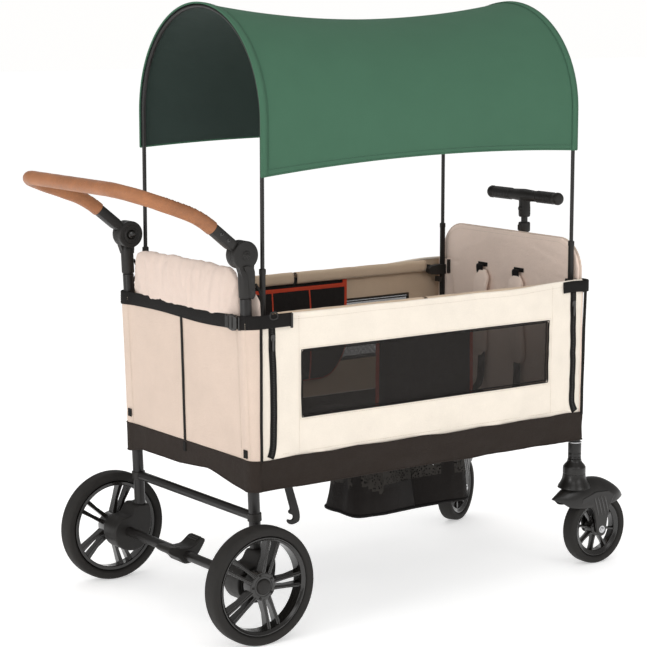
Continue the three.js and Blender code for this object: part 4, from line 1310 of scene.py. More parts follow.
def side_wall(name, side):
    """The woven wall with an open window, doubled at the window's edge."""
    (wx0, wx1), (wz0, wz1) = WINDOW["x"], WINDOW["z"]
    xs = [*spread(TUB_REAR + 1, wx0, 11)[:-1], *spread(wx0, wx1, 11)[:-1], *spread(wx1, TUB_FRONT - 1, 11)]
    steps = [*spread(0, 1, 1 / 7)[:-1], *spread(1, 2, 1 / 12)[:-1], *spread(2, 3, 1 / 7)]

    def point(x, v):
        # v is 0 at the seam, 1 and 2 at the window's edges, 3 at the top
        low, high = SEAM_Z - 3, wall_top(x)
        z = np.interp(v, [0, 1, 2, 3], [low, wz0, wz1, high])
        return on_wall(x, z, side)

    # its inner face takes the tan that paints the shade inside the tub
    wall = add(f"side_wall_{name}", grid(point, xs, steps, skip=lambda x, v: wx0 < x < wx1 and 1 < v < 2),
               CREAM,
               "rear_frame", [f"side_panel_{name}"], inside=TAN_PAINTED_SHADE)
    facing(wall, (0, side, 0))
    cloth(wall, 2.4, inside=True)
    fold_with(wall)

    window_us, window_vs = spread(wx0 - 5, wx1 + 5, 14), spread(wz0 - 5, wz1 + 5, 12)
    panel = add(f"window_mesh_{name}",
                grid(lambda x, z: on_wall(x, z, side, -1.6 + 0.8 * ripple(x, 3, z, 60, 9)),
                                            window_us, window_vs), MESH, "rear_frame")
    fold_with(panel)

    def ring(inset, proud, step=8):
        x0, x1, z0, z1 = wx0 - inset, wx1 + inset, wz0 - inset, wz1 + inset
        loop = [(x, z0) for x in spread(x0, x1, step)[:-1]] + [(x1, z) for z in spread(z0, z1, step)[:-1]]
        loop += [(x, z1) for x in spread(x1, x0, step)[:-1]] + [(x0, z) for z in spread(z1, z0, step)[:-1]]
        return [on_wall(x, z, side, proud) for x, z in loop]

    hem = add(f"window_hem_{name}", merged(tube(ring(1.0, 0.6), 1.5, 8, closed=True),
                                           tube(ring(-3.5, -3.2), 1.6, 8, closed=True)), PIPING,
              "rear_frame")
    fold_with(hem)
    seams = [stitches([*ring(5.5, 1.4), ring(5.5, 1.4)[0]])]
    for x in (wx0 - 8, wx1 + 10):
        seams.append(stitches([on_wall(x, z, side, 1.4) for z in spread(SEAM_Z + 6, wall_top(x) - 3, 8)]))
    seams.append(stitches([on_wall(x, wall_top(x) - 12, side, 1.4) for x in spread(84, 886, 8)]))
    seams.append(stitches([on_wall(x, SEAM_Z + 10, side, 1.4) for x in spread(84, 886, 8)]))
    thread = add(f"side_wall_stitching_{name}", merged(*seams), THREAD_CREAM, "rear_frame")
    fold_with(thread)
    zip_strips(name, side)
    rolled = tube([(x, wall_out(x, wall_top(x), side) - side * 1.5, wall_top(x) - 1.5)
                   for x in spread(TUB_REAR + 2, TUB_FRONT - 2, 14)],
                  3.2, 12)
    edge = add(f"side_wall_hem_{name}", rolled, CREAM, "rear_frame")
    fold_with(edge)


def zip_line(z, end):
    """Where a corner zip runs at a height: it wanders, and turns in towards the corner at its foot."""
    sway = 1.6 * math.sin((z - 430) / 48)
    foot = max(0.0, (SEAM_Z + 34 - z) / 34) ** 2
    return 64 + sway - 10 * foot if end == "rear" else 904 + 0.8 * sway + 16 * foot


def zip_strips(name, side):
    """The two corner zips: a black tape with teeth down its middle and a slider with its pull at the top."""
    tapes, teeth, sliders = [], [], []
    for end in ("rear", "front"):
        zs = spread(SEAM_Z + 5, 676, 7)
        route = [on_wall(zip_line(z, end), z, side, 2.0) for z in zs]
        tapes.append(sweep(route, flat_section(17, 1.6), across=(1, 0, 0)))
        for z in np.arange(SEAM_Z + 10, 662, 3.6):
            x, y, _ = on_wall(zip_line(z, end), z, side, 3.0)
            teeth.append(block((x - 2.3, y - 0.7, z - 0.9), (x + 2.3, y + 0.7, z + 0.9)))
        x, y, _ = on_wall(zip_line(640, end), 640, side, 4.0)
        sliders.append(plate(smooth_outline([(x - 4, 632), (x + 4, 632), (x + 4.6, 644), (x - 4.6, 644)],
                                            3), "xz", y - 1.8, y + 1.8))
        sliders.append(plate(smooth_outline([(x - 2.4, 612), (x + 2.4, 612), (x + 1.9, 634),
                                             (x - 1.9, 634)], 3), "xz",
                             y - 0.9 + side * 1.6, y + 0.9 + side * 1.6))
    for kind, shapes, material, slot in (("tape", tapes, WEB, "webbing_black"),
                                         ("teeth", teeth, PLASTIC_DARK, "plastic_black"),
                                         ("slider", sliders, GLOSS, "gloss_black")):
        piece = add(f"zip_{kind}_{name}", merged(*shapes), material, "rear_frame")
        fold_with(piece)


REAR_PLAN = ((268, 0, 33), (266, 0, 25), (259, 0.55, 10), (250, 0.95, 1.2), (241, 1, 0), (230, 0.9, 1.2),
             (216, 0.2, 0.6), (200, 0, 0))


def rear_flat(z):
    """Where the rear fabric is at a height, between the posts."""
    return 8 + (STRAP_Z - z) * 0.0242


def rear_route(z, out=0.0):
    """The rear fabric in plan at a height: over both posts, and nearly flat between them."""
    flat = rear_flat(z)
    ridge = post_x(z) - POST_R - 2.6
    right = [((1 - w) * (flat if a < 245 else x) + w * ridge + w * x - out, -a) if a < 262
             else (x - out * 0.4, -a - out * 0.6)
             for a, w, x in REAR_PLAN]
    middle = [(flat - out, y) for y in spread(-170, 170, 42)]
    left = [(x, -y) for x, y in reversed(right)]
    return curve_through([(x, y, z) for x, y in [*right, *middle, *left]], 3)


def rear_wall():
    """The rear fabric, drawn over the posts, with its middle seam, corner piping and two blank tabs."""
    zs = spread(SEAM_Z - 2, 674, 12)
    rows = {z: rear_route(z) for z in zs}
    us = list(range(len(rows[zs[0]])))

    def point(u, z):
        x, y, _ = rows[z][int(u)]
        calm = max(0.0, 1 - (abs(y) / 262) ** 10)
        wave = 0.9 * ripple(0, y, z, 150, 11) + 0.4 * ripple(0, y * 1.4, z * 0.3, 40, 12)
        return x - calm * wave, y, z

    # its inner face takes the tan that paints the shade inside the tub
    wall = add("rear_wall_fabric", grid(point, us, zs), BLUSH, "rear_frame", ["rear_panel"],
               inside=TAN_PAINTED_SHADE)
    facing(wall, (-1, 0, 0))
    cloth(wall, 2.2, inside=True)
    piping = []
    for _, side in SIDES:
        piping.append(tube([(TUB_REAR + 1.0 - 0.6 * ripple(0, 0, z, 60, 14), side * 268, z)
                            for z in spread(SEAM_Z - 2, 668, 10)], 3.6, 14))
        rise = curve_through([(33, side * 268, 668), (38, side * 266, 694), (44, side * 258, 716),
                              (42, side * 252, 734),
                              (33, side * 249, 752)], 6)
        piping.append(tube(rise, 2.6, 12))
    add("rear_corner_piping", merged(*piping), PIPING, "rear_frame")
    flat = [(rear_flat(z) - 2.2, 3 + 0.8 * ripple(0, 0, z, 70, 15), z) for z in spread(SEAM_Z - 6, 656, 8)]
    add("rear_middle_zip", merged(sweep(flat, flat_section(8.5, 2.4), across=(0, 1, 0)),
                                  block((flat[0][0] - 3, -3, SEAM_Z - 22), (flat[0][0] + 1, 7, SEAM_Z - 2))),
        PIPING, "rear_frame")
    tabs = []
    for y, z in ((236, 404), (-243, 393)):
        x = post_x(z) - POST_R - 4.6
        tabs.append(block((x - 1.2, y - 7, z - 9), (x + 0.6, y + 7, z + 9)))
    rounded(add("rear_side_tabs", merged(*tabs), WEB, "rear_frame"), 0.4, 2)
    seams = [stitches([(post_x(z) - POST_R - 2.2, side * y, z) for z in spread(SEAM_Z + 4, 676, 8)])
             for _, side in SIDES for y in (224.5, 257)]
    seams += [stitches([(rear_flat(z) - 1.7, y, z) for z in spread(SEAM_Z + 4, 652, 8)]) for y in (-4, 10)]
    add("rear_wall_stitching", merged(*seams), THREAD_CREAM, "rear_frame")


def skirt_low(y):
    """The lower edge of the rear skirt, arched between the posts."""
    return float(np.interp(y, [-268, -241, -197, -92, 28, 191, 241, 268],
                           [313, 311, 316, 335, 325, 325, 314, 312]))


def skirts():
    """The black band round the foot of the tub."""
    for name, side in SIDES:
        def point(x, v):
            low = HEM_Z + 1.5 * ripple(x, side, 0, 90, 21)
            high = SEAM_Z + 3.2 * ripple(x, side, 5, 75, 22) + 2
            z = low + (high - low) * v
            out = TUB_SIDE + 0.9 + 4.0 * ripple(x * 0.7, side * 4, z * 1.8, 46,
                                                23) - 2.2 * (1 - v) + 2.2 * ripple(x, side, z, 18, 24)
            return x, side * out, z

        band = add(f"side_skirt_{name}", grid(point, spread(TUB_REAR - 2, TUB_FRONT + 6, 9),
                                              spread(0, 1, 1 / 8)), SKIRT,
                   "rear_frame")
        cloth(band, 1.8)
        fold_with(band)
        hem = tube([point(x, 0.02) for x in spread(TUB_REAR - 2, TUB_FRONT + 6, 12)], 1.9, 10)
        seam = tube([point(x, 0.98) for x in spread(TUB_REAR - 2, TUB_FRONT + 6, 9)], 1.7, 10)
        edge = add(f"side_skirt_hem_{name}", merged(hem, seam), SKIRT, "rear_frame")
        fold_with(edge)
    plan = rear_route(SEAM_Z - 40, 1.8)

    def rear_point(u, v):
        x, y, _ = plan[int(u)]
        low, high = skirt_low(y), SEAM_Z + 1.5
        z = low + (high - low) * v
        wave = 1.2 * ripple(x, y, z * 1.5, 60, 25) + 0.7 * ripple(x, y, z, 20, 26)
        return x - wave * max(0.0, 1 - (abs(y) / 266) ** 12) + (SEAM_Z - 40 - z) * -LEAN * 0.6, y, z

    us = list(range(len(plan)))
    band = add("rear_skirt", grid(rear_point, us, spread(0, 1, 1 / 8)), SKIRT, "rear_frame")
    cloth(band, 1.8)
    add("rear_skirt_hem", merged(tube([rear_point(u, 0.02) for u in us], 1.9, 10),
                                 tube([rear_point(u, 0.98) for u in us], 1.7, 10)),
        SKIRT, "rear_frame")


FRONT_PLAN = ((932, 267), (929, 262), (925.5, 253), (924.6, 241), (925.5, 229), (929, 217), (931.5, 200))


def front_wall():
    """The front fabric: round the back of each post at the corners, and flat between them."""
    side_points = [(x, -y) for x, y in FRONT_PLAN]
    middle = [(931.5, y) for y in spread(-165, 165, 42)]
    plan = curve_through([(x, y, 0) for x,
                          y in [*side_points, *middle, *[(x, -y) for x, y in reversed(side_points)]]], 3)
    us = list(range(len(plan)))

    def point(low, high, seed, deep):
        def at_grid(u, v):
            x, y, _ = plan[int(u)]
            z = low + (high - low) * v
            return x + deep * ripple(x, y, z, 70, seed), y, z
        return at_grid

    wall = add("front_wall_fabric", grid(point(SEAM_Z - 2, 692, 31, 1.2), us, spread(0, 1, 1 / 26)),
               BLUSH_LINING,
               "front_frame",
               ["front_panel"])
    cloth(wall, 2.2)
    band = add("front_skirt", grid(point(HEM_Z, SEAM_Z + 2, 32, 1.5), us, spread(0, 1, 1 / 8)), SKIRT,
               "front_frame")
    # the band stands proud of the wall
    band.location.x = 1.6 * MM
    cloth(band, 1.8)
    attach(band, "front_frame")
    piping = []
    for _, side in SIDES:
        route = [(933.5 + 6 * (max(0.0, z - SEAM_Z) / 300) ** 1.5 + 0.8 * ripple(0, side, z, 55, 33),
                  side * 268.5, z)
                 for z in spread(SEAM_Z - 4, 686, 10)]
        piping.append(tube(route, 3.6, 14))
    add("front_corner_piping", merged(*piping), PIPING, "front_frame")


def front_backrest():
    """The padded top of the front wall, with round upper corners and a sewn edge."""
    z0, z1, half, corner_r = 690, 781, 251, 70
    outline = [(-half, z0), (-216, z0), (-216, 384), (216, 384), (216, z0), (half, z0)]
    outline += [(half - corner_r + y, z) for y, z in arc((0, z1 - corner_r), corner_r, 0, 90, 10)]
    outline += [(-half + corner_r + y, z) for y, z in arc((0, z1 - corner_r), corner_r, 90, 180, 10)]
    pad = add("front_backrest_pad", plate(outline, "yz", 931.5, 944.5), BLUSH_LINING)
    puff(pad, 5.0, 5.0, 3.5, held=lambda x, y, z: abs(y) > half - 4 or z > z1 - 4)
    crease(pad, lambda x, y, z: 0.8 * ripple(x, y, z, 60, 41) + 0.5 * ripple(x, y, z * 0.4, 22, 42))
    place_pad(pad, "front_frame", "front_backrest")
    edge = [(938, y, z) for y, z in outline[5:]] + [(938, -half, z0)]
    bead = tube([(938, y * 1.004, z) for _, y, z in edge], 2.6, 10)
    add("front_backrest_bead", bead, BLUSH, "front_frame")
    inner_seam = [(929.2, y * 0.955, z0 + (z - z0) * 0.9) for _, y, z in edge]
    add("front_backrest_stitching", stitches(inner_seam, 4.6, 0.45), THREAD_CREAM, "front_frame")


def harness():
    """Two padded shoulder straps through slots in the front wall, with their webbing."""
    for name, y, tilt in (("left", 82, -4), ("right", -52, 4)):
        def middle(z):
            reach = (z - 462) / 220
            return 919 - 9 * math.sin(math.pi * min(1, reach * 1.02)) ** 0.8 * reach

        points, around = [], 28
        for z in spread(462, 682, 6):
            end = min(1.0, min(z - 460, 684 - z) / 22)
            half_y = 27 * max(0.25, end) ** 0.5
            half_x = 6.6 * max(0.2, end) ** 0.5
            cy = y + tilt * (z - 590) / 90
            for k in range(around):
                t = 2 * math.pi * k / around
                c, s = math.cos(t), math.sin(t)
                points.append((middle(z) + half_x * math.copysign(abs(c) ** 0.7, c),
                               cy + half_y * math.copysign(abs(s) ** 0.6, s), z))
        pad = add(f"shoulder_pad_{name}", loft(points, around), BLUSH_LINING)
        puff(pad, 4.0, 4.0, 3.0)
        crease(pad, lambda x, py, z: 0.5 * ripple(x, py, z, 30, 51))
        place_pad(pad, "front_frame")
        upper = curve_through([(926, y + 5, 691), (918, y + 5, 692), (915, y + 5, 688), (916, y + 5, 676),
                               (918, y + 4, 664)], 6)
        lower = curve_through([(916, y - 5, 478), (916, y - 5, 462), (916, y - 4, 440), (912, y - 4, 404),
                               (890, y * 0.9, 386),
                               (860, y * 0.7, 383), (820, y * 0.4, 382)], 8)
        runs = merged(*[sweep(run, flat_section(25, 1.8), across=(0, 1, 0)) for run in (upper, lower)])
        add(f"harness_webbing_{name}", runs, WEB, "front_frame")
        slot_frame = sweep([(925.8, y + 5 - 17, 692), (925.8, y + 5 + 17, 692)], flat_section(10, 2.2),
                           across=(0, 0, 1))
        add(f"harness_slot_{name}", slot_frame, PIPING, "front_frame")


def rails():
    """The folding top rails in their fabric sleeves."""
    for name, side in SIDES:
        for half_name, x0, x1 in (("rear", FOLD_REAR + 12, FOLD_MIDDLE - 5),
                                  ("front", FOLD_MIDDLE + 5, FOLD_FRONT - 12)):
            body = f"rail_{half_name}_{name}"
            node = frame["nodes"][f"top_rail_{half_name}_{name}"]
            node.data.materials.clear()
            node.data.materials.append(STEEL_BLACK)
            section = [(9.5 * math.copysign(abs(math.cos(t)) ** 0.8, math.cos(t)),
                        13.5 * math.copysign(abs(math.sin(t)) ** 0.7, math.sin(t)))
                       for t in (2 * math.pi * i / 28 for i in range(28))]
            xs = spread(x0, x1, 9)
            route = [(x, side * RAIL_Y, RAIL_Z + 6 + 0.9 * ripple(x, side, 0, 60, 61)) for x in xs]
            scales = [1 + 0.035 * ripple(x, side, 9, 25, 62) for x in xs]
            points, faces = sweep(route, section, across=(0, 1, 0), scales=scales)
            # the sleeves take the tan that paints the shade inside the tub
            sleeve = add(f"rail_sleeve_{half_name}_{name}", (points, faces[:-2]), TAN_PAINTED_SHADE, body)
            cloth(sleeve, 1.2, 0)
            seam = stitches([(x, side * (RAIL_Y - 9.2), RAIL_Z - 4) for x in xs])
            add(f"rail_sleeve_stitching_{half_name}_{name}", seam, THREAD_CREAM, body)


def organizer():
    """The mesh organizer pocket on the left wall, bound in red."""
    low, high = extent("side_pocket")
    x0, x1, z0 = low[0] - 2, 628, 424
    top, opening, y = 661, 646, 256

    def drop(x):
        # the lower edge curves up towards the front
        t = max(0.0, (x - (x1 - 90)) / 90)
        return z0 + 70 * t**3.0

    def backing(x, v):
        z = drop(x) + (top - drop(x)) * v
        return x, y + 0.8 * ripple(x, 0, z, 60, 71), z

    sheet_back = add("organizer_backing", grid(backing, spread(x0, x1, 10), spread(0, 1, 1 / 18)), MESH,
                     "rear_frame")
    cloth(sheet_back, 0.8, 0)
    fold_with(sheet_back)

    def pouch(x, v):
        z = drop(x) + (opening - drop(x)) * v
        share = (x - x0) / (x1 - x0)
        belly = 11 * math.sin(math.pi * min(1, max(0, v * 0.92 + 0.04))) ** 0.7 * math.sin(math.pi * min(1,
            max(0, share))) ** 0.4
        pleat = 2.6 * ripple(x, 0, z * 0.4, 24, 72)
        return x, y - 2 - belly - pleat * math.sin(math.pi * v) ** 0.5, z

    front = add("organizer_pouch", grid(pouch, spread(x0, x1, 7), spread(0, 1, 1 / 22)), BLACK_CLOTH,
                "rear_frame", ["side_pocket"])
    cloth(front, 1.2, 0)
    fold_with(front)
    binding = [sweep([pouch(x, 1.0) for x in spread(x0, x1, 10)], flat_section(10.5, 2.6), across=(0, 0, 1)),
               sweep([(x1, y - 1.5, z) for z in spread(drop(x1), top + 3, 10)], flat_section(12.5, 3),
                     across=(1, 0, 0)),
               sweep([(x, y - 1.5, drop(x)) for x in spread(x0, x1, 6)], flat_section(8, 2.6),
                     across=(0, 0, 1))]
    for x in (412, 520):
        binding.append(sweep([pouch(x, v) for v in spread(0, 1, 0.08)], flat_section(5, 1.6),
                             across=(1, 0, 0)))
    trim = add("organizer_binding", merged(*binding), RED, "rear_frame")
    fold_with(trim)


def inner_pocket():
    """The flat pocket inside the right wall, bound in red at its ends; it shows through the window."""
    x0, x1, z0, z1 = 342, 606, 430, 640

    def point(x, z):
        return on_wall(x, z, -1, -5.5 + 1.2 * ripple(x, 0, z, 50, 75))

    pocket = add("inner_pocket", grid(point, spread(x0, x1, 9), spread(z0, z1, 9)), BLACK_CLOTH,
                 "rear_frame")
    cloth(pocket, 1.2, 0)
    fold_with(pocket)
    bound = [sweep([point(x, z) for z in spread(z0, z1, 10)], flat_section(9, 3), across=(1, 0, 0))
             for x in (x0, x1)]
    bound.append(sweep([point(x, z1) for x in spread(x0, x1, 10)], flat_section(9, 3), across=(0, 0, 1)))
    trim = add("inner_pocket_binding", merged(*bound), RED, "rear_frame")
    fold_with(trim)


def floor_mats():
    """The padded floor, in two halves that fold with the boards."""
    for half_name, body in (("rear", "floor_rear"), ("front", "floor_front")):
        node = f"floor_mat_{half_name}"
        low, high = extent(node)
        shape = block(low + np.array([3, 3, 1]), high - np.array([3, 3, 5]))
        pad = add(f"floor_pad_{half_name}", shape, MAT_CLOTH)
        middle = (low + high) / 2

        def seam(x, y, z):
            across = min(abs(y - s) for s in (-74, 74)) < 4
            return across and z > middle[2]

        puff(pad, 5.0, 7.0, 3.0, held=seam)
        crease(pad, lambda x, y, z: 0.9 * ripple(x, y, z, 45, 81) - (1.6 if seam(x, y, z) else 0))
        place_pad(pad, body, node)


def basket():
    """The hanging basket: a piped solid foot, gathered walls of mesh, and an elastic top."""
    low, high = extent("basket")
    (x0, x1), half, z0, z1 = (low[0] + 3, high[0] - 3), high[1] - 3, low[2] + 4, 303
    cx, half_x = (x0 + x1) / 2, (x1 - x0) / 2

    def outline(u):
        # u runs once round, from the middle of the right side
        t = 2 * math.pi * u - math.pi / 2
        c, s = math.cos(t), math.sin(t)
        return cx + half_x * math.copysign(abs(c) ** 0.16, c), half * math.copysign(abs(s) ** 0.3, s)

    def wall(u, v):
        x, y = outline(u)
        gather = math.sin(math.pi * min(1.0, v * 0.9 + 0.05)) ** 0.7
        push = 1 - 0.055 * v - 0.02 * math.sin(math.pi * v)
        waist = 1 - 0.16 * v - 0.05 * math.sin(math.pi * v)
        fold = (13.0 * ripple(x, y, v * 30, 46, 91) + 7.0 * ripple(x, y, v * 16, 20, 92)) * gather
        out = Vector((x - cx, y * half_x / half, 0)).normalized()
        z = z0 + (z1 - z0) * v + 3.5 * ripple(x, y, 0, 90, 94) * (1 - v)
        return cx + (x - cx) * push + out.x * fold, y * waist + out.y * fold * 1.3, z

    us = spread(0, 1, 1 / 220)
    net = add("basket_walls", grid(wall, us, spread(0, 1, 1 / 22)), NET, "rear_frame", ["basket"])
    net.data.materials.append(BLACK_CLOTH)
    # solid cloth below, and between the windows of net on the right side
    for face in net.data.polygons:
        share = (face.center.z / MM - z0) / (z1 - z0)
        x = (face.center.x - AXLE_X) / MM
        column = (x - x0) / (x1 - x0)
        windows = 0.07 < column < 0.24 or 0.31 < column < 0.47 or 0.6 < column < 0.7 or 0.86 < column < 0.97
        ends = column < 0.03 or column > 0.97
        near = face.center.y < 0 and not ends
        bare = share > 0.40 + 0.07 * math.sin(column * 23) and (windows or ends or not near)
        face.material_index = 0 if bare else 1
    cloth(net, 1.0, 0)
    fold_with(net)

    def base(s, t):
        u = outline((math.atan2(t, s) / (2 * math.pi) + 0.25) % 1.0)
        reach = max(abs(s), abs(t))
        x, y, z = cx + (u[0] - cx) * reach, u[1] * reach, z0
        return x, y, z + 3.5 * ripple(x, y, 0, 90, 94) - 7 * (1 - reach**3)

    foot = add("basket_foot", grid(base, spread(-1, 1, 0.05), spread(-1, 1, 0.0499999)), BLACK_CLOTH,
               "rear_frame")
    cloth(foot, 1.4, 0)
    fold_with(foot)
    bead = tube([wall(u, 0.0) for u in us[:-1]], 3.6, 12, closed=True)
    top = sweep([wall(u, 1.0) for u in us[:-1]], flat_section(16, 2.2), across=(0, 0, 1), closed=True)
    straps = []
    for column in (0.08, 0.36, 0.64, 0.92):
        for side in (-1, 1):
            x = x0 + (x1 - x0) * column
            y = side * half * 0.84
            straps.append(sweep([(x, y, z1 - 8), (x, y + side, z1 + 6), (x, y + side * 2, 316)],
                                flat_section(16, 1.8), across=(1, 0, 0)))
    trim = add("basket_edge", merged(bead, top, *straps), WEB, "rear_frame")
    fold_with(trim)


# ---- straps ----
def strap_centre(y):
    """The height of the rear strap across the tub."""
    return 671 + 2.2 * math.sin(y / 60.0) - 3.5 * math.cos(y / 175.0)


def rear_strap():
    plan = [(x, y) for x, y, z in rear_route(STRAP_Z, 2.4)]
    route = [(109, -270.6), (92, -271.4), (70, -271.8), (50, -271.8), *plan, (50, 272), (75, 272)]
    route = curve_through([(x, y, strap_centre(y) + (1.0 if x > 45 else 0)) for x, y in route], 2)
    belt = add("rear_strap", sweep(route, flat_section(29, 2.0), across=(0, 0, 1)), WEB, "rear_frame")
    hardware = []
    z = strap_centre(-217)
    x = min(p[0] for p in rear_route(STRAP_Z, 2.4) if -240 < p[1] < -196) - 1.5
    body_outline = smooth_outline([(-236, z - 12), (-224, z - 14.5), (-212, z - 14.5), (-199, z - 12.5),
                                   (-198, z), (-199, z + 12.5),
                                   (-212, z + 14.5), (-224, z + 14.5), (-236, z + 12), (-237, z)], 3)
    hardware.append(plate(body_outline, "yz", x - 4, x + 3.6))
    for dy in (-222, -219, -207, -204):
        hardware.append(block((x - 5, dy - 0.8, z - 12.5), (x - 3.6, dy + 0.8, z + 12.5)))
    for sign in (-1, 1):
        hardware.append(tube([(x - 1, -229, z + sign * 13.6), (x - 1, -217, z + sign * 15.6),
                              (x - 1, -205, z + sign * 13.6)], 2.4, 12))
    for y0 in (-244, -194):
        hardware.append(block((x - 3.4, y0 - 2, z - 14), (x + 3.4, y0 + 2, z + 14)))
    buckle = add("strap_side_buckle", merged(*hardware), PLASTIC_DARK, "rear_frame", ["strap_buckle"])
    rounded(buckle, 0.8, 2)
    loops = []
    for side, px in ((-1, 62), (1, 40)):
        ring = [(px - 10, side * 272.5, 684), (px - 6, side * 272.5, 692), (px + 6, side * 272.5, 692),
                (px + 10, side * 272.5, 684),
                (px + 6, side * 272.5, 679), (px - 6, side * 272.5, 679)]
        loops.append(tube(curve_through([*ring, ring[0]], 4), 2.0, 10))
    loops.append(block((106, -273.4, 656), (111, -269.6, 687)))
    rounded(add("strap_keepers", merged(*loops), PLASTIC_DARK, "rear_frame"), 0.5, 2)


def front_straps():
    for name, side in SIDES:
        plan = [(870, 269.8), (890, 270.6), (915, 271.4), (936, 271.5), (948, 268), (955, 258), (957, 247),
                (955.6, 236), (950, 228)]
        route = curve_through([(x, side * y, 678 + 1.0 * math.sin(x / 14)) for x, y in plan], 6)
        belt = add(f"front_strap_{name}", sweep(route, flat_section(26, 2.0), across=(0, 0, 1)), WEB,
                   "front_frame")
        clip = [block((921, side * 216, 655), (929, side * 222.5, 690)),
                block((902, side * 229, 634), (912, side * 246, 646))]
        rounded(add(f"front_clip_{name}", merged(*clip), PLASTIC_DARK, "front_frame"),
                1.2, 2)


# ---- canopy ----
def canopy():
    """One arched sheet over both bows: it dips between them, and its long edges curve up."""
    x0, x1 = CANOPY_REAR + 1, CANOPY_FRONT - 1
    straight = SPRING_Z - 980
    half_turn = math.pi * CANOPY_R
    total = half_turn + 2 * straight

    def point(u, v):
        # u runs from the rear bow to the front one, v from the right edge over the top to the left one
        side_lift = 17 * 4 * u * (1 - u)
        near = -8 + 20 * u + side_lift
        far = 26 - 14 * u + side_lift
        s = v * total
        x = x0 + (x1 - x0) * u
        sag = 4 * u * (1 - u)
        bow = math.exp(-((x - POLE_REAR) / 7) ** 2) + math.exp(-((x - POLE_FRONT) / 7) ** 2)
        if s < straight:
            down = 1 - s / straight
            y, z = -CANOPY_R + 5 * sag * (0.3 + 0.7 * down), SPRING_Z - (straight - near) * down
            out = (0, -1)
            calm = 1.0
        elif s > total - straight:
            down = 1 - (total - s) / straight
            y, z = CANOPY_R - 5 * sag * (0.3 + 0.7 * down), SPRING_Z - (straight - far) * down
            out = (0, 1)
            calm = 1.0
        else:
            turn = math.pi * (s - straight) / half_turn
            dip = sag * (38 * math.sin(turn) ** 2 + 4 * abs(math.cos(turn)))
            r = CANOPY_R
            y, z = -r * math.cos(turn) * (1 - 0.004 * sag), SPRING_Z + r * math.sin(turn) - dip
            out = (math.sin(turn), -math.cos(turn))
            calm = 0.6 + 0.4 * abs(math.cos(turn))
        wave = 1.1 * calm * ripple(x * 0.7, y, z, 150, 101) + 0.45 * ripple(x * 0.4, y, z, 45, 102) * calm
        wave *= min(1.0, 12 * u * (1 - u) + 0.1)
        lift = 1.3 * bow + wave
        return x, y + out[1] * lift, z + out[0] * lift

    us = sorted({*spread(0, 0.03, 0.005), *spread(0.03, 0.97, 0.0165), *spread(0.97, 1, 0.005)})
    vs = spread(0, 1, 1 / 96)
    # its inner face takes the dark lining, which also carries painted shade
    cover = add("canopy_sheet", grid(point, us, vs), GREEN, "canopy_rear", ["canopy_cover"],
                inside=GREEN_LINING_PAINTED_SHADE)
    facing(cover, (0, 0, 1))
    cloth(cover, 1.6, inside=True)
    fold_with(cover)

    def band(u0, u1, proud, steps=96):
        def at_band(u, v):
            x, y, z = point(u, v)
            out = Vector((0, y, max(0.0, z - SPRING_Z))).normalized()
            return x, y + out.y * proud, z + out.z * proud
        return grid(at_band, spread(u0, u1, (u1 - u0) / 2), spread(0, 1, 1 / steps))

    sleeves = merged(band(0.0, 0.0185, 1.5), band(0.9815, 1.0, 1.5))
    hems = [tube([point(u, v) for u in spread(0, 1, 0.02)], 2.0, 10) for v in (0.0, 1.0)]
    hems += [tube([point(u, v) for v in spread(0, 1, 1 / 120)], 2.0, 10) for u in (0.0, 1.0)]
    bound = add("canopy_binding", merged(*hems), GREEN, "canopy_rear")
    fold_with(bound)
    sleeve = add("canopy_bow_sleeves", sleeves, GREEN, "canopy_rear")
    cloth(sleeve, 1.0, 0)
    fold_with(sleeve)

    def seam(u=None, v=None):
        spots = [point(u, s) for s in spread(0.01, 0.99, 1 / 150)] if v is None else [point(s, v)
            for s in spread(0.02, 0.98, 0.01)]
        raised = []
        for x, y, z in spots:
            out = Vector((0, y, max(0.0, z - SPRING_Z))).normalized()
            raised.append((x, y + out.y * 2.6, z + out.z * 2.6))
        return stitches(raised, 5.2, 0.45)

    edge = 12 / total
    sewn = merged(seam(u=0.0205), seam(u=0.9795), seam(v=edge), seam(v=1 - edge))
    thread = add("canopy_stitching", sewn, THREAD_GREEN, "canopy_rear")
    fold_with(thread)


headrest()
for wall_name, wall_side in SIDES:
    side_wall(wall_name, wall_side)
rear_wall()
skirts()
front_wall()
front_backrest()
harness()
rails()
organizer()
inner_pocket()
floor_mats()
basket()
rear_strap()
front_straps()
canopy()


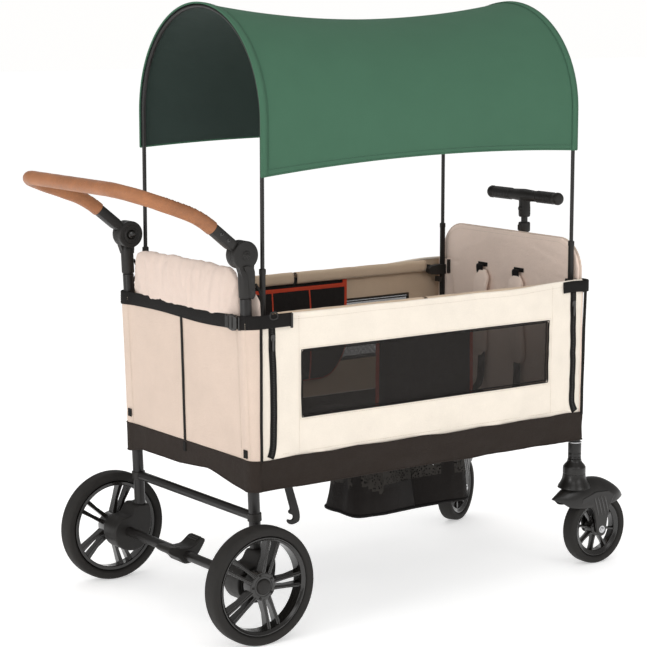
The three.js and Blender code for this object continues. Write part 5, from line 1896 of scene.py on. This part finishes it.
# ---- carried-over frame pieces ----
def dress_frame_nodes():
    for node, material, slot in (("rear_sill", STEEL_BLACK, "frame_black"),
                                 ("front_sill", STEEL_BLACK, "frame_black"),
                                 ("floor_board_rear", PLASTIC, "plastic_black"),
                                 ("floor_board_front", PLASTIC, "plastic_black"),
                                 ("pull_bracket", PLASTIC, "plastic_black")):
        piece = frame["nodes"][node]
        piece.data.materials.clear()
        piece.data.materials.append(material)


dress_frame_nodes()


# ---- floor, light and colour ----
def studio():
    scene = bpy.context.scene
    bpy.ops.mesh.primitive_plane_add(size=60)
    floor = bpy.context.object
    floor.name = "studio_floor"
    white = Finish("studio_white", srgb(246, 246, 246), 0.9)
    white.shader.inputs["Emission Color"].default_value = (1.0, 1.0, 1.0, 1)
    white.shader.inputs["Emission Strength"].default_value = 0.40
    floor.data.materials.append(white.material)
    world = bpy.data.worlds.new("studio")
    scene.world = world
    world.use_nodes = True
    tree = world.node_tree
    tree.nodes["Background"].inputs["Color"].default_value = (1.0, 0.995, 0.985, 1)
    path = tree.nodes.new("ShaderNodeLightPath")
    flagged = tree.nodes.new("ShaderNodeMapRange")
    flagged.inputs["To Min"].default_value = 0.72
    flagged.inputs["To Max"].default_value = 0.32
    backdrop = tree.nodes.new("ShaderNodeMath")
    backdrop.operation = "MAXIMUM"
    tree.links.new(path.outputs["Is Glossy Ray"], flagged.inputs[0])
    tree.links.new(flagged.outputs[0], backdrop.inputs[0])
    tree.links.new(path.outputs["Is Camera Ray"], backdrop.inputs[1])
    tree.links.new(backdrop.outputs[0], tree.nodes["Background"].inputs["Strength"])
    lamps = (("key", (-2.4, -3.0, 3.0), 20, 2.0), ("side", (0.8, -3.8, 2.0), 24, 1.8),
             ("low", (-5.0, -1.0, 1.7), 74, 2.2),
             ("top", (0.2, 0.4, 4.2), 10, 2.4), ("back", (1.6, 3.6, 2.6), 10, 2.2))
    for name, place, power, size in lamps:
        data = bpy.data.lights.new(name, "AREA")
        data.energy, data.size = power, size
        lamp = bpy.data.objects.new(name, data)
        scene.collection.objects.link(lamp)
        lamp.location = place
        lamp.rotation_mode = "QUATERNION"
        lamp.rotation_quaternion = (Vector((0, 0, 0.5)) - Vector(place)).to_track_quat("-Z", "Y")
    scene.view_settings.view_transform = "Standard"
    scene.view_settings.exposure = 0.0


studio()
